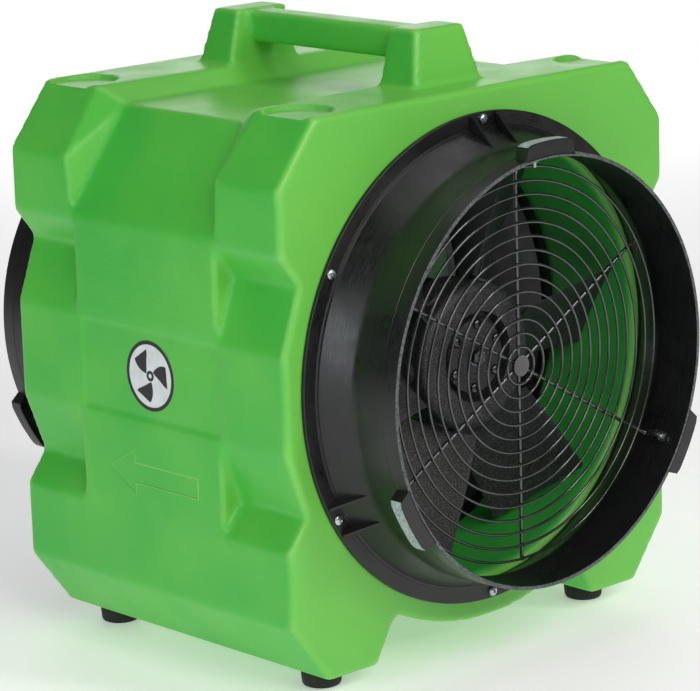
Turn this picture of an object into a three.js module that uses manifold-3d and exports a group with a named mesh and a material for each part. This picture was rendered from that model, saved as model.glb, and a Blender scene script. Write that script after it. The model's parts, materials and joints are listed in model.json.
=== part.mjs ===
// Portable axial air mover with a rotomoulded housing, for 400 mm flexible duct.
// Millimetres, +Z up. The origin is on the floor under the middle of the machine. The fan's axis
// runs along Y: air enters at the front, towards -Y, and leaves at the back.
import * as THREE from "three";
import { ConvexGeometry } from "three/addons/geometries/ConvexGeometry.js";
import { mergeVertices } from "three/addons/utils/BufferGeometryUtils.js";
import Module from "manifold-3d";

const wasm = await Module();
wasm.setup();

// Driving dimensions. Heights of the housing are measured from the fan's axis.
const GAP = 0.3; // left between pieces that touch
const AXIS_HEIGHT = 280; // fan axis above the floor
const HALF_WIDTH = 248.7;
const HALF_DEPTH = 187.5;
const RIDGE_TOP = 251.7;
const VALLEY_FLOOR = 236.4;
const LEG_BOTTOM = -261.6;
const BELLY_RADIUS = 248.5;
const WALL = 5;
const TUNNEL_RADIUS = 204;
const BELL_RADIUS = 9; // rounding of the tunnel's two mouths
const ROUND = 48; // sides of the tunnel and the collars

const COLLAR = { flange: 230, root: 215, spigot: 200, wall: 3.5, thick: 4, cone: 36, length: 88 };
const FLANGE_SCREW_CIRCLE = 223.5;
const FLANGE_SCREW_ANGLES = [30, 90, 150, 210, 270, 330];
const LUG_ANGLES = [90, 210, 330]; // bayonet lugs, rib pairs and guard fixings
const GUARD_SETBACK = 46; // guard plane in front of the housing's face
const GUARD_RINGS = 7; // every second ring of the welded guard
const GUARD_INNER_RING = 30.05;
const GUARD_PITCH = 25.5;
const GUARD_FIXING = 67; // guard screws in front of the housing's face

const BLADES = 6;
const BLADE_START_ANGLE = 4;
const BLADE_TIP = 193;
const HUB_SCREW_CIRCLE = 30;
const HUB_SCREW_START_ANGLE = 25;
const HUB_RADIUS = 70;
const HUB_FRONT = -180;
const HUB_SPLIT = -153;
const HUB_BACK = -128;
const HUB_BOSS = { radius: 35, face: HUB_FRONT + 4, groove: HUB_FRONT + 14, outer: 42 };
const SHAFT_RADIUS = 9.5;

const MOTOR_RADIUS = 62;
const MOTOR_FRONT = -108;
const MOTOR_BACK = 42;
const STATOR = { bore: 29, front: -63, back: -3 };
const ROTOR_RADIUS = 28;
const ARM_ANGLES = [90, 210, 330];
const RING = { inner: 201.4, outer: 203.4, front: -83, back: 60 }; // steel ring that lines the tunnel

const LEAD = { x: 14, y: 40, radius: 4 }; // where the motor's lead passes through the tunnel wall

const FOOT = { x: 176, y: 144, top: 19.5, bottom: 18 };
const PANEL_FACE = 228; // outer face of the switch panel, from the middle plane
const PANEL_HALF = { y: 62, z: 33 };
const ROCKER_Y = -28;
const GLAND_Y = 30;
const ROCKER_REST = -12; // degrees, pressed to off

const DEG = Math.PI / 180;

const LOOKS = {
  polyethylene: { color: 0x49af48, roughness: 0.42, metalness: 0 },
  black_nylon: { color: 0x1b1b1d, roughness: 0.45, metalness: 0 },
  blade_nylon: { color: 0x232323, roughness: 0.7, metalness: 0 },
  coated_wire: { color: 0x202124, roughness: 0.35, metalness: 0.2 },
  zinc: { color: 0xc4c6c8, roughness: 0.3, metalness: 1 },
  rubber: { color: 0x161616, roughness: 0.85, metalness: 0 },
  motor_paint: { color: 0x2b2d2f, roughness: 0.5, metalness: 0.3 },
  steel: { color: 0x9a9c9e, roughness: 0.35, metalness: 1 },
  switch_plastic: { color: 0x0f0f10, roughness: 0.3, metalness: 0 },
};

// ---- helpers for solids ----

// A closed geometry as a solid, its faces turned outwards whichever way its profile ran.
function solid(geometry) {
  const bare = geometry.index ? geometry.toNonIndexed() : geometry.clone();
  bare.deleteAttribute("normal");
  bare.deleteAttribute("uv");
  const merged = mergeVertices(bare, 1e-4);
  const vertProperties = merged.attributes.position.array;
  const triVerts = new Uint32Array(merged.index.array);
  const [a, b, c] = [new THREE.Vector3(), new THREE.Vector3(), new THREE.Vector3()];
  let volume = 0;
  for (let i = 0; i < triVerts.length; i += 3) {
    [a, b, c].forEach((v, k) => v.fromArray(vertProperties, 3 * triVerts[i + k]));
    volume += a.dot(b.cross(c)) / 6;
  }
  for (let i = 0; volume < 0 && i < triVerts.length; i += 3) {
    [triVerts[i + 1], triVerts[i + 2]] = [triVerts[i + 2], triVerts[i + 1]];
  }
  return new wasm.Manifold(new wasm.Mesh({ numProp: 3, vertProperties, triVerts }));
}

function union(solids) {
  return solids.reduce((all, s) => all.add(s));
}

function cut(body, tools) {
  return tools.reduce((left, tool) => left.subtract(tool), body);
}

function geometryOf(body) {
  const mesh = body.getMesh();
  const geometry = new THREE.BufferGeometry();
  geometry.setAttribute("position", new THREE.BufferAttribute(mesh.vertProperties, 3));
  geometry.setIndex(new THREE.BufferAttribute(mesh.triVerts, 1));
  geometry.computeVertexNormals();
  return geometry;
}

// Revolves [radius, y] points about the fan's axis.
function turned(profile, segments = 48) {
  const closed = [...profile, profile[0]].map(([r, y]) => new THREE.Vector2(r, y));
  return solid(new THREE.LatheGeometry(closed, segments));
}

// Extrudes a polygon of [x, z] points from y0 to y1.
function prism(points, y0, y1) {
  const shape = new THREE.Shape(points.map(([x, z]) => new THREE.Vector2(x, z)));
  const geometry = new THREE.ExtrudeGeometry(shape, { depth: y1 - y0, bevelEnabled: false });
  return solid(geometry.rotateX(Math.PI / 2).translate(0, y1, 0));
}

function box(low, high) {
  const size = high.map((v, i) => v - low[i]);
  const middle = high.map((v, i) => (v + low[i]) / 2);
  return solid(new THREE.BoxGeometry(...size).translate(...middle));
}

// A cylinder along Y from y0 to y1, its axis at (x, z).
function rod(radius, y0, y1, x = 0, z = 0, segments = 12) {
  const geometry = new THREE.CylinderGeometry(radius, radius, y1 - y0, segments);
  return solid(geometry.translate(x, (y0 + y1) / 2, z));
}

// A cylinder pointing away from the fan's axis, from radius r0 to r1 at one angle.
function spoke(radius, r0, r1, y, angle, segments = 10) {
  const geometry = new THREE.CylinderGeometry(radius, radius, r1 - r0, segments);
  geometry.rotateZ(-Math.PI / 2).translate((r0 + r1) / 2, y, 0);
  return solid(geometry.rotateY(-angle * DEG));
}

// An upright cylinder 24 long about a point, for a hole.
function upright(radius, x, y, z) {
  const hole = new THREE.CylinderGeometry(radius, radius, 24, 8).rotateX(Math.PI / 2);
  return solid(hole.translate(x, y, z));
}

function hull(points) {
  return solid(new ConvexGeometry(points.map((p) => new THREE.Vector3(...p))));
}

// Joins closed loops of equally many points into one solid with flat ends.
function loft(loops) {
  const n = loops[0].length;
  const index = [];
  for (let i = 0; i + 1 < loops.length; i++) {
    for (let k = 0; k < n; k++) {
      const [a, b] = [i * n + k, i * n + ((k + 1) % n)];
      index.push(a, b, b + n, a, b + n, a + n);
    }
  }
  const last = (loops.length - 1) * n;
  for (let k = 1; k + 1 < n; k++) {
    index.push(0, k + 1, k, last, last + k, last + k + 1);
  }
  const geometry = new THREE.BufferGeometry();
  geometry.setAttribute("position", new THREE.Float32BufferAttribute(loops.flat(2), 3));
  return solid(geometry.setIndex(index));
}

// Point at a radius, a y and an angle round the fan's axis, counted from +X towards +Z.
function polar(radius, y, angle) {
  return [radius * Math.cos(angle * DEG), y, radius * Math.sin(angle * DEG)];
}

function rotated(body, angle) {
  return solid(geometryOf(body).rotateY(-angle * DEG));
}

function mirroredInY(body) {
  return solid(geometryOf(body).scale(1, -1, 1));
}

const group = new THREE.Group();
const machine = new THREE.Group(); // holds every piece that is placed from the fan's axis
machine.position.z = AXIS_HEIGHT;
group.add(machine);

function piece(name, body, look, parent = machine) {
  const mesh = new THREE.Mesh(geometryOf(body), new THREE.MeshStandardMaterial(LOOKS[look]));
  mesh.name = name;
  parent.add(mesh);
  return mesh;
}

// ---- housing ----

// Points of the belly, an arc about the fan's axis between the two leg channels.
function bellyArc(radius, halfX, steps) {
  const spread = Math.asin(halfX / radius);
  return Array.from({ length: steps + 1 }, (_, i) => {
    const t = spread * (1 - (2 * i) / steps);
    return [radius * Math.sin(t), -radius * Math.cos(t)];
  });
}

// Half outline on +X, from the top down, of the housing's middle, moved inwards by `inset`.
function outline(inset) {
  const side = HALF_WIDTH - inset;
  const bottom = LEG_BOTTOM + inset;
  const half = [
    [192.7 - 0.5 * inset, VALLEY_FLOOR - inset],
    [side, 139.65 - 0.5 * inset],
    [side, -203.5 + 0.4 * inset],
    [204.55 - 0.4 * inset, bottom],
    [144.4 + 0.7 * inset, bottom],
    [123.4 + 0.7 * inset, -225 + inset],
  ];
  const belly = bellyArc(BELLY_RADIUS - inset, 115.8, 10);
  const mirrored = half.map(([x, z]) => [-x, z]).reverse();
  return [...half, ...belly, ...mirrored];
}

// The raised band along the front edge, which frames the middle and carries the stacking dimples.
function ridge(inset) {
  const side = HALF_WIDTH - inset;
  const face = -HALF_DEPTH + inset;
  const corners = [
    [side, face, 139.65],
    [side, face, 192.55 - 0.5 * inset],
    [202.5 - 0.5 * inset, face, RIDGE_TOP - inset],
    [side, -99.5 - inset, 139.65],
    [side, -103.5 - inset, 192.55 - 0.5 * inset],
    [202.5 - 0.5 * inset, -109.5 - inset, RIDGE_TOP - inset],
    [45, -101.5 - inset, RIDGE_TOP - inset],
    [192.7 - 0.5 * inset, -81.5 - inset, VALLEY_FLOOR - inset],
    [45, -81.5 - inset, VALLEY_FLOOR - inset],
  ];
  return hull(corners.flatMap(([x, y, z]) => [[x, y, z], [-x, y, z]]));
}

// A wedge taken out of a corner of the housing, open to the side and to the front.
function cornerPocket(side, up, grow) {
  const apex = [side * (227 - grow), up * 105];
  const mouth = 262;
  const steep = up * (105 + (28 / 21.7) * 35 + grow);
  const gentle = up * (105 - (60 / 21.7) * 35 - grow);
  const points = [apex, [side * mouth, steep], [side * mouth, gentle]];
  return prism(side * up > 0 ? points : points.reverse(), -HALF_DEPTH - 10, -99.5 + grow);
}

function handlePost() {
  const [base, top] = [RIDGE_TOP - 16, 303.3];
  const y = (fromFace) => -HALF_DEPTH + fromFace;
  const points = [];
  for (const side of [-1, 1]) {
    points.push([side * 47.5, y(35.5), base], [side * 47.5, y(86), base]);
    points.push([side * 31, y(48.4), top], [side * 31, y(84), top]);
  }
  return hull(points);
}

function handleBar() {
  const [low, high, half, chamfer] = [271.5, 301.5, 17.5, 5];
  const section = [
    [half, low + chamfer],
    [half, high - chamfer],
    [half - chamfer, high],
    [-half + chamfer, high],
    [-half, high - chamfer],
    [-half, low + chamfer],
    [-half + chamfer, low],
    [half - chamfer, low],
  ];
  return prism(section, -HALF_DEPTH + 70, HALF_DEPTH - 70);
}

// The tunnel's mouth at the front, rounded off towards the face.
function bellmouth() {
  const face = -HALF_DEPTH;
  const arc = [0, 45, 90].map((a) => [
    TUNNEL_RADIUS + BELL_RADIUS * (1 - Math.cos(a * DEG)),
    face + BELL_RADIUS * (1 - Math.sin(a * DEG)),
  ]);
  const outside = [[TUNNEL_RADIUS + BELL_RADIUS, face - 5], [190, face - 5]];
  return turned([[190, face + BELL_RADIUS], ...arc, ...outside], ROUND);
}

function housingOuter(inset) {
  const middle = prism(outline(inset), -HALF_DEPTH + inset, HALF_DEPTH - inset);
  const front = ridge(inset);
  const pockets = [-1, 1].flatMap((side) => [-1, 1].map((up) => cornerPocket(side, up, inset)));
  const both = (body) => [body, mirroredInY(body)];
  return cut(union([middle, ...both(front)]), pockets.flatMap(both));
}

// The walls run round one hollow space, which opens behind the switch panel.
function housing() {
  const both = (body) => [body, mirroredInY(body)];
  const dimples = [-1, 1].flatMap((side) => {
    const disc = new THREE.CylinderGeometry(31, 31, 20, 24).rotateX(Math.PI / 2);
    return both(solid(disc.translate(side * 186, -HALF_DEPTH + 39, RIDGE_TOP - 4 + 10)));
  });
  const recessDepth = { from: PANEL_FACE - 3 - GAP, to: HALF_WIDTH + 10 };
  const recess = box([recessDepth.from, -72, -43], [recessDepth.to, 72, 43]);
  const panelHole = box([TUNNEL_RADIUS + WALL - 1, -52, -24], [recessDepth.from + 1, 52, 24]);
  const panelScrews = [-57, 57].flatMap((y) => [-28, 28].map((z) => {
    const hole = new THREE.CylinderGeometry(1.6, 1.6, 10, 6).rotateZ(Math.PI / 2);
    return solid(hole.translate(recessDepth.from, y, z));
  }));
  const hollow = cut(housingOuter(WALL), [
    rod(TUNNEL_RADIUS + WALL, -HALF_DEPTH, HALF_DEPTH, 0, 0, ROUND),
    box([recessDepth.from - WALL, -72 - WALL, -43 - WALL], [recessDepth.to, 72 + WALL, 43 + WALL]),
    ...dimples.map((dimple) => solid(geometryOf(dimple).translate(0, 0, -WALL))),
    ...both(solid(geometryOf(handlePost()).translate(0, 0, -1))),
  ]);
  const flangeScrews = FLANGE_SCREW_ANGLES.flatMap((angle) => {
    const [x, , z] = polar(FLANGE_SCREW_CIRCLE, 0, angle);
    return both(rod(2.4, -HALF_DEPTH - 5, -HALF_DEPTH + 16, x, z, 6));
  });
  const bracketScrews = ARM_ANGLES.map((a) => spoke(3.4, TUNNEL_RADIUS - 8, TUNNEL_RADIUS + 8, 0, a, 8));
  const footScrews = [-1, 1].flatMap((sx) => [-1, 1].map((sy) => {
    return upright(2.4, sx * FOOT.x, sy * FOOT.y, LEG_BOTTOM);
  }));
  return cut(union([housingOuter(0), ...both(handlePost()), handleBar()]), [
    ...dimples,
    rod(TUNNEL_RADIUS, -HALF_DEPTH - 5, HALF_DEPTH + 5, 0, 0, ROUND),
    ...both(bellmouth()),
    recess,
    hollow,
    panelHole,
    ...panelScrews,
    ...flangeScrews,
    ...bracketScrews,
    ...footScrews,
    upright(LEAD.radius + 0.8, LEAD.x, LEAD.y, TUNNEL_RADIUS),
  ]);
}

// ---- duct collars and guards, made for the front and mirrored for the back ----

const FACE = -HALF_DEPTH - GAP; // where the front collar's flange sits

function collar() {
  const c = COLLAR;
  const at = (r, out) => [r, FACE - out];
  const ring = turned([
    at(c.root - c.wall, 0),
    at(c.flange, 0),
    at(c.flange, c.thick),
    at(c.root, c.thick),
    at(c.spigot, c.cone),
    at(c.spigot, c.length),
    at(c.spigot - c.wall, c.length),
    at(c.spigot - c.wall, c.cone),
    at(c.root - c.wall, c.thick),
  ], ROUND);
  const ribs = LUG_ANGLES.flatMap((angle) => [-16, 16].map((offset) => {
    const corners = [[c.flange - 2, 3], [c.root - 2.5, 3], [c.spigot - 0.6, 33]];
    const side = (t) => corners.map(([r, out]) => [r, FACE - out, offset + t]);
    return rotated(hull([...side(-1.2), ...side(1.2)]), angle);
  }));
  const lugs = LUG_ANGLES.map((angle) => {
    const rim = FACE - c.length;
    const arc = (r, half, y) => [-1, 0, 1].map((t) => polar(r, y, angle + t * half));
    const loop = (y) => [...arc(c.spigot - 1.5, 9, y), ...arc(c.spigot + 13, 8, y).reverse()];
    return loft([loop(rim), loop(rim + 14)]);
  });
  const holes = FLANGE_SCREW_ANGLES.map((angle) => {
    const [x, , z] = polar(FLANGE_SCREW_CIRCLE, 0, angle);
    return rod(2.6, FACE - 10, FACE + 1, x, z, 6);
  });
  const guardHoles = LUG_ANGLES.map((angle) => {
    return spoke(2.5, c.spigot - 10, c.spigot + 10, FACE - GUARD_FIXING, angle, 8);
  });
  return cut(union([ring, ...ribs, ...lugs]), [...holes, ...guardHoles]);
}

// A ring of three-sided wire about the fan's axis, its flat back against the bars.
function wireRing(radius, y, wire) {
  const segments = radius < 50 ? 12 : radius < 110 ? 16 : 20;
  return turned([[radius - wire, y + wire], [radius, y - wire], [radius + wire, y + wire]], segments);
}

function guard() {
  const plane = FACE - GUARD_SETBACK;
  const reach = GUARD_INNER_RING + GUARD_PITCH * (GUARD_RINGS - 1);
  const inside = COLLAR.spigot - COLLAR.wall - GAP;
  const rings = Array.from({ length: GUARD_RINGS }, (_, i) => {
    return wireRing(GUARD_INNER_RING + GUARD_PITCH * i, plane, 1.5);
  });
  const bars = [30, 90, 150, 210, 270, 330].map((angle) => {
    const end = LUG_ANGLES.includes(angle) ? inside - 0.5 : reach + 2;
    const bar = box([5, plane + 0.6, -1.8], [end, plane + 4.2, 1.8]);
    return rotated(bar, angle);
  });
  const feet = LUG_ANGLES.map((angle) => {
    const foot = box([inside - 3, FACE - GUARD_FIXING - 8, -7], [inside - 1, plane + 4.2, 7]);
    return rotated(foot, angle).subtract(
      spoke(2.5, inside - 12, inside + 12, FACE - GUARD_FIXING, angle, 8),
    );
  });
  const disc = rod(9.8, plane + 0.2, plane + 4.6, 0, 0, 16);
  return union([disc, ...bars, ...rings, ...feet]);
}

// Pan-head screw along +Y: its head stands in front of y = 0 and its shank runs behind.
function screwAlongY(headRadius, headHeight, shankRadius, length) {
  return turned([
    [0, -headHeight],
    [headRadius, -headHeight * 0.5],
    [headRadius, 0],
    [shankRadius, 0],
    [shankRadius, length],
    [0, length],
  ], 8);
}

function flangeScrews(end, name) {
  const screw = screwAlongY(4.9, 3.2, 2, 15);
  FLANGE_SCREW_ANGLES.forEach((angle, i) => {
    const mesh = piece(name + "_" + (i + 1), end > 0 ? mirroredInY(screw) : screw, "zinc");
    const [x, , z] = polar(FLANGE_SCREW_CIRCLE, 0, angle);
    mesh.position.set(x, end * (-FACE + COLLAR.thick + GAP), z);
  });
}

// Screw pointing at the fan's axis, its head on the collar's outside.
function guardScrews(end, name) {
  LUG_ANGLES.forEach((angle, i) => {
    const body = screwAlongY(4.2, 2.8, 2, 15);
    const mesh = piece(name + "_" + (i + 1), body, "zinc");
    const [x, y, z] = polar(COLLAR.spigot + GAP, end * (-FACE + GUARD_FIXING), angle);
    mesh.position.set(x, y, z);
    mesh.rotation.set(0, (90 - angle) * DEG, 0);
    mesh.rotateX(-Math.PI / 2);
  });
}

// ---- impeller: two hub halves that clamp the round roots of the six blades ----

function bladeRootSocket(angle, clearance) {
  return spoke(9 + clearance, 50, 90, HUB_SPLIT, angle, 8);
}

const bladeAngles = Array.from({ length: BLADES }, (_, i) => BLADE_START_ANGLE + (360 / BLADES) * i);
const hubScrewAngles = bladeAngles.map((_, i) => HUB_SCREW_START_ANGLE + (360 / BLADES) * i);

function hubHoles() {
  return [
    ...bladeAngles.map((angle) => bladeRootSocket(angle, GAP)),
    ...hubScrewAngles.map((angle) => {
      const [x, , z] = polar(HUB_SCREW_CIRCLE, 0, angle);
      return rod(3.6, HUB_FRONT - 5, HUB_BACK + 5, x, z, 6);
    }),
  ];
}

function hubFront() {
  const { radius, face, groove, outer } = HUB_BOSS;
  const body = turned([
    [6.5, face],
    [radius, face],
    [radius + 1, groove],
    [outer, groove],
    [outer, HUB_FRONT + 2],
    [outer + 2, HUB_FRONT],
    [66, HUB_FRONT],
    [HUB_RADIUS, HUB_FRONT + 4],
    [HUB_RADIUS, HUB_SPLIT - GAP / 2],
    [6.5, HUB_SPLIT - GAP / 2],
  ], 30);
  return cut(body, hubHoles());
}

function hubRear() {
  const body = turned([
    [SHAFT_RADIUS + GAP, HUB_SPLIT + GAP / 2],
    [HUB_RADIUS, HUB_SPLIT + GAP / 2],
    [HUB_RADIUS, HUB_BACK - 4],
    [66, HUB_BACK],
    [SHAFT_RADIUS + GAP, HUB_BACK],
  ], 30);
  return cut(body, hubHoles());
}

// A broad paddle, steep at the root and flatter at the tip, on a round root. It is drawn pointing
// along +X with its leading edge towards +Z and the front.
function blade() {
  const stations = [
    { r: 74, chord: 60, depth: 52, thick: 7 },
    { r: 105, chord: 68, depth: 55, thick: 5.5 },
    { r: 150, chord: 77, depth: 55, thick: 4.5 },
    { r: BLADE_TIP, chord: 86, depth: 53, thick: 3.5 },
  ];
  const loops = stations.map(({ r, chord, depth, thick }) => {
    const across = [-0.5, -0.2, 0.1, 0.35, 0.5];
    const point = (t, side) => {
      const camber = 7 * (1 - 4 * t * t);
      const along = t * chord;
      const span = Math.sqrt(r * r - along * along * 0.55);
      return [span, HUB_SPLIT - t * depth + camber + side * thick * (0.55 - 0.8 * t * t), along];
    };
    return [...across.map((t) => point(t, 0.9)), ...across.map((t) => point(t, -0.9)).reverse()];
  });
  const root = spoke(9, 52, 82, HUB_SPLIT, 0, 8);
  return loft(loops).add(root);
}

function impeller() {
  piece("hub_front", hubFront(), "blade_nylon");
  piece("hub_rear", hubRear(), "blade_nylon");
  bladeAngles.forEach((angle, i) => {
    piece("blade_" + (i + 1), rotated(blade(), angle), "blade_nylon");
  });
  hubScrewAngles.forEach((angle, i) => {
    const mesh = piece("hub_screw_" + (i + 1), screwAlongY(5, 3.5, 3, 42), "zinc");
    const [x, , z] = polar(HUB_SCREW_CIRCLE, 0, angle);
    mesh.position.set(x, HUB_BOSS.face - GAP, z);
  });
  const bolt = piece("shaft_bolt", screwAlongY(10, 6, 4, 34), "zinc");
  bolt.position.y = HUB_BOSS.face - GAP;
  const shaft = turned([
    [4.4, HUB_SPLIT + 1],
    [SHAFT_RADIUS, HUB_SPLIT + 1],
    [SHAFT_RADIUS, STATOR.front],
    [ROTOR_RADIUS, STATOR.front],
    [ROTOR_RADIUS, STATOR.back],
    [SHAFT_RADIUS, STATOR.back],
    [SHAFT_RADIUS, MOTOR_BACK - 6],
    [0, MOTOR_BACK - 6],
    [0, HUB_SPLIT + 16],
    [4.4, HUB_SPLIT + 16],
  ], 16);
  piece("rotor_shaft", shaft, "steel");
}

// ---- motor and its bracket ----

function motor() {
  const bore = SHAFT_RADIUS + GAP;
  const race = 20;
  const shieldDepth = 14;
  const frameBore = MOTOR_RADIUS - 3;
  const frameWithStator = turned([
    [frameBore, MOTOR_FRONT + shieldDepth + GAP],
    [MOTOR_RADIUS, MOTOR_FRONT + shieldDepth + GAP],
    [MOTOR_RADIUS, MOTOR_BACK - shieldDepth - GAP],
    [frameBore, MOTOR_BACK - shieldDepth - GAP],
    [frameBore, STATOR.back],
    [STATOR.bore, STATOR.back],
    [STATOR.bore, STATOR.front],
    [frameBore, STATOR.front],
  ], 24);
  piece("motor_body", frameWithStator, "motor_paint");
  const frontShield = turned([
    [race + GAP, MOTOR_FRONT],
    [MOTOR_RADIUS - 10, MOTOR_FRONT],
    [MOTOR_RADIUS + 1.5, MOTOR_FRONT + 8],
    [MOTOR_RADIUS + 1.5, MOTOR_FRONT + shieldDepth],
    [race + GAP, MOTOR_FRONT + shieldDepth],
  ], 24);
  piece("motor_front_shield", frontShield, "motor_paint");
  const rearShield = turned([
    [0, MOTOR_BACK],
    [0, MOTOR_BACK - 4],
    [race + GAP, MOTOR_BACK - 4],
    [race + GAP, MOTOR_BACK - shieldDepth],
    [MOTOR_RADIUS + 1.5, MOTOR_BACK - shieldDepth],
    [MOTOR_RADIUS + 1.5, MOTOR_BACK - 8],
    [MOTOR_RADIUS - 10, MOTOR_BACK],
  ], 24);
  piece("motor_rear_shield", rearShield, "motor_paint");
  for (const [name, y] of [["front", MOTOR_FRONT + 1], ["rear", MOTOR_BACK - shieldDepth]]) {
    const ring = turned([[bore, y], [race, y], [race, y + 9], [bore, y + 9]], 16);
    piece("motor_" + name + "_bearing", ring, "steel");
  }
}

// A band round the motor with three arms that end in feet, bolted through the ring that lines the
// tunnel and into the housing's wall.
function motorBracket() {
  const band = turned([
    [MOTOR_RADIUS + GAP, -22],
    [MOTOR_RADIUS + 4, -22],
    [MOTOR_RADIUS + 4, 22],
    [MOTOR_RADIUS + GAP, 22],
  ], 24);
  const wall = RING.inner;
  const arms = ARM_ANGLES.map((angle) => {
    const arm = box([MOTOR_RADIUS + 2, -18, -2], [wall - 4.5, 18, 2]);
    const foot = box([wall - 6, -20, -17], [wall - 2, 20, 17]);
    return rotated(arm.add(foot), angle);
  });
  const bolts = ARM_ANGLES.map((angle) => spoke(3.4, wall - 14, wall + 5, 0, angle, 8));
  const slots = ARM_ANGLES.map((angle) => rotated(box([wall - 26, -8, -8], [wall - 6, 8, 8]), angle));
  piece("motor_bracket", cut(union([band, ...arms]), [...bolts, ...slots]), "motor_paint");
  const ring = turned([
    [RING.inner, RING.front],
    [RING.outer, RING.front],
    [RING.outer, RING.back],
    [RING.inner, RING.back],
  ], ROUND);
  const leadHole = upright(LEAD.radius + 0.8, LEAD.x, LEAD.y, TUNNEL_RADIUS);
  piece("motor_ring", cut(ring, [...bolts, leadHole]), "motor_paint");
  ARM_ANGLES.forEach((angle, i) => {
    const mesh = piece("bracket_bolt_" + (i + 1), screwAlongY(6.2, 4.5, 3, 11), "zinc");
    const [x, , z] = polar(wall - 6 - GAP, 0, angle);
    mesh.position.set(x, 0, z);
    mesh.rotation.set(0, (90 - angle) * DEG, 0);
    mesh.rotateX(Math.PI / 2);
  });
}

function terminalBox() {
  const [low, join, high] = [MOTOR_RADIUS + 3, MOTOR_RADIUS + 26, MOTOR_RADIUS + 31];
  const shell = box([-28, -84, low], [28, -30, join]);
  const inside = box([-25, -81, low + 3], [25, -33, join + 5]);
  const gland = rod(5.2, -40, -20, 14, low + 13, 10);
  piece("terminal_box", cut(shell, [inside, gland]), "switch_plastic");
  piece("terminal_box_lid", box([-29, -85, join + GAP], [29, -29, high]), "switch_plastic");
}

// The lead runs from the terminal box along the upper arm and through the tunnel's wall.
function motorLead() {
  const low = MOTOR_RADIUS + 3;
  const route = new THREE.CatmullRomCurve3([
    new THREE.Vector3(LEAD.x, -44, low + 13),
    new THREE.Vector3(LEAD.x, -27, low + 13),
    new THREE.Vector3(LEAD.x, -10, low + 24),
    new THREE.Vector3(LEAD.x, 0, low + 58),
    new THREE.Vector3(LEAD.x, 20, 150),
    new THREE.Vector3(LEAD.x, LEAD.y - 2, 180),
    new THREE.Vector3(LEAD.x, LEAD.y, 196),
    new THREE.Vector3(LEAD.x, LEAD.y, 214),
  ]);
  const circle = new THREE.Shape().absarc(0, 0, LEAD.radius, 0, 2 * Math.PI);
  const tube = new THREE.ExtrudeGeometry(circle, {
    steps: 18,
    curveSegments: 4,
    bevelEnabled: false,
    extrudePath: route,
  });
  piece("motor_lead", solid(tube), "rubber");
}

// ---- switch panel on the right side ----

// Cylinder along X, the way the panel faces.
function rodAlongX(radius, x0, x1, y, z, segments = 12) {
  const geometry = new THREE.CylinderGeometry(radius, radius, x1 - x0, segments);
  return solid(geometry.rotateZ(Math.PI / 2).translate((x0 + x1) / 2, y, z));
}

function switchPanel() {
  const [outer, back] = [PANEL_FACE, PANEL_FACE - 3];
  const { y, z } = PANEL_HALF;
  const plate = box([back, -y, -z], [outer, y, z]);
  const rockerHole = box([back - 5, ROCKER_Y - 9.5, -14.5], [outer + 5, ROCKER_Y + 9.5, 14.5]);
  const screwHoles = [-57, 57].flatMap((sy) => [-28, 28].map((sz) => {
    return rodAlongX(2.2, back - 5, outer + 5, sy, sz, 8);
  }));
  const glandHole = rodAlongX(8.4, back - 5, outer + 5, GLAND_Y, 0, 16);
  piece("switch_panel", cut(plate, [rockerHole, glandHole, ...screwHoles]), "black_nylon");

  const rim = box([outer + GAP, ROCKER_Y - 12, -18], [outer + 2.5, ROCKER_Y + 12, 18]);
  const sleeve = box([back - 8, ROCKER_Y - 9, -14.2], [outer + 1, ROCKER_Y + 9, 14.2]);
  const well = box([back - 10, ROCKER_Y - 7.2, -13.2], [outer + 5, ROCKER_Y + 7.2, 13.2]);
  piece("switch_bezel", rim.add(sleeve).subtract(well), "switch_plastic");

  const rockerSection = [[-6, -7], [-6, 7], [2.5, 12], [1, 0], [2.5, -12]];
  const shape = new THREE.Shape(rockerSection.map(([u, v]) => new THREE.Vector2(u, v)));
  const key = new THREE.ExtrudeGeometry(shape, { depth: 13.6, bevelEnabled: false });
  key.translate(0, 0, -6.8).rotateX(Math.PI / 2);
  const rocker = piece("switch_rocker", solid(key), "switch_plastic");
  rocker.position.set(outer + 1, ROCKER_Y, 0);
  rocker.rotation.y = -ROCKER_REST * DEG;

  const gland = turned([
    [4.2, -7],
    [8, -7],
    [8, 3 + GAP],
    [11.5, 3 + GAP],
    [11.5, 9],
    [10, 9.5],
    [10, 15],
    [7, 19],
    [4.2, 19],
  ], 16);
  const glandMesh = piece("cable_gland", gland, "black_nylon");
  glandMesh.position.set(back, GLAND_Y, 0);
  glandMesh.rotation.z = -Math.PI / 2;
}

// ---- feet, placed from the floor ----

function feet() {
  const top = AXIS_HEIGHT + LEG_BOTTOM - GAP;
  const foot = turned([
    [3, 5],
    [3, top],
    [FOOT.top, top],
    [FOOT.bottom, 1.5],
    [FOOT.bottom - 1.5, 0],
    [8, 0],
    [8, 5],
  ], 16);
  [[-1, -1], [1, -1], [-1, 1], [1, 1]].forEach(([sx, sy], i) => {
    const mesh = piece("foot_" + (i + 1), foot, "rubber", group);
    mesh.rotation.x = Math.PI / 2;
    mesh.position.set(sx * FOOT.x, sy * FOOT.y, 0);
  });
}

piece("housing", housing(), "polyethylene");
piece("front_collar", collar(), "black_nylon");
piece("rear_collar", mirroredInY(collar()), "black_nylon");
piece("front_guard", guard(), "coated_wire");
piece("rear_guard", mirroredInY(guard()), "coated_wire");
flangeScrews(-1, "front_flange_screw");
flangeScrews(1, "rear_flange_screw");
guardScrews(-1, "front_guard_screw");
guardScrews(1, "rear_guard_screw");
impeller();
motor();
motorBracket();
terminalBox();
motorLead();
switchPanel();
feet();

export default group;
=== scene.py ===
import json
from math import cos, pi, radians, sin, sqrt

import bmesh
import bpy
import numpy as np
from mathutils import Matrix, Quaternion, Vector


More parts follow.
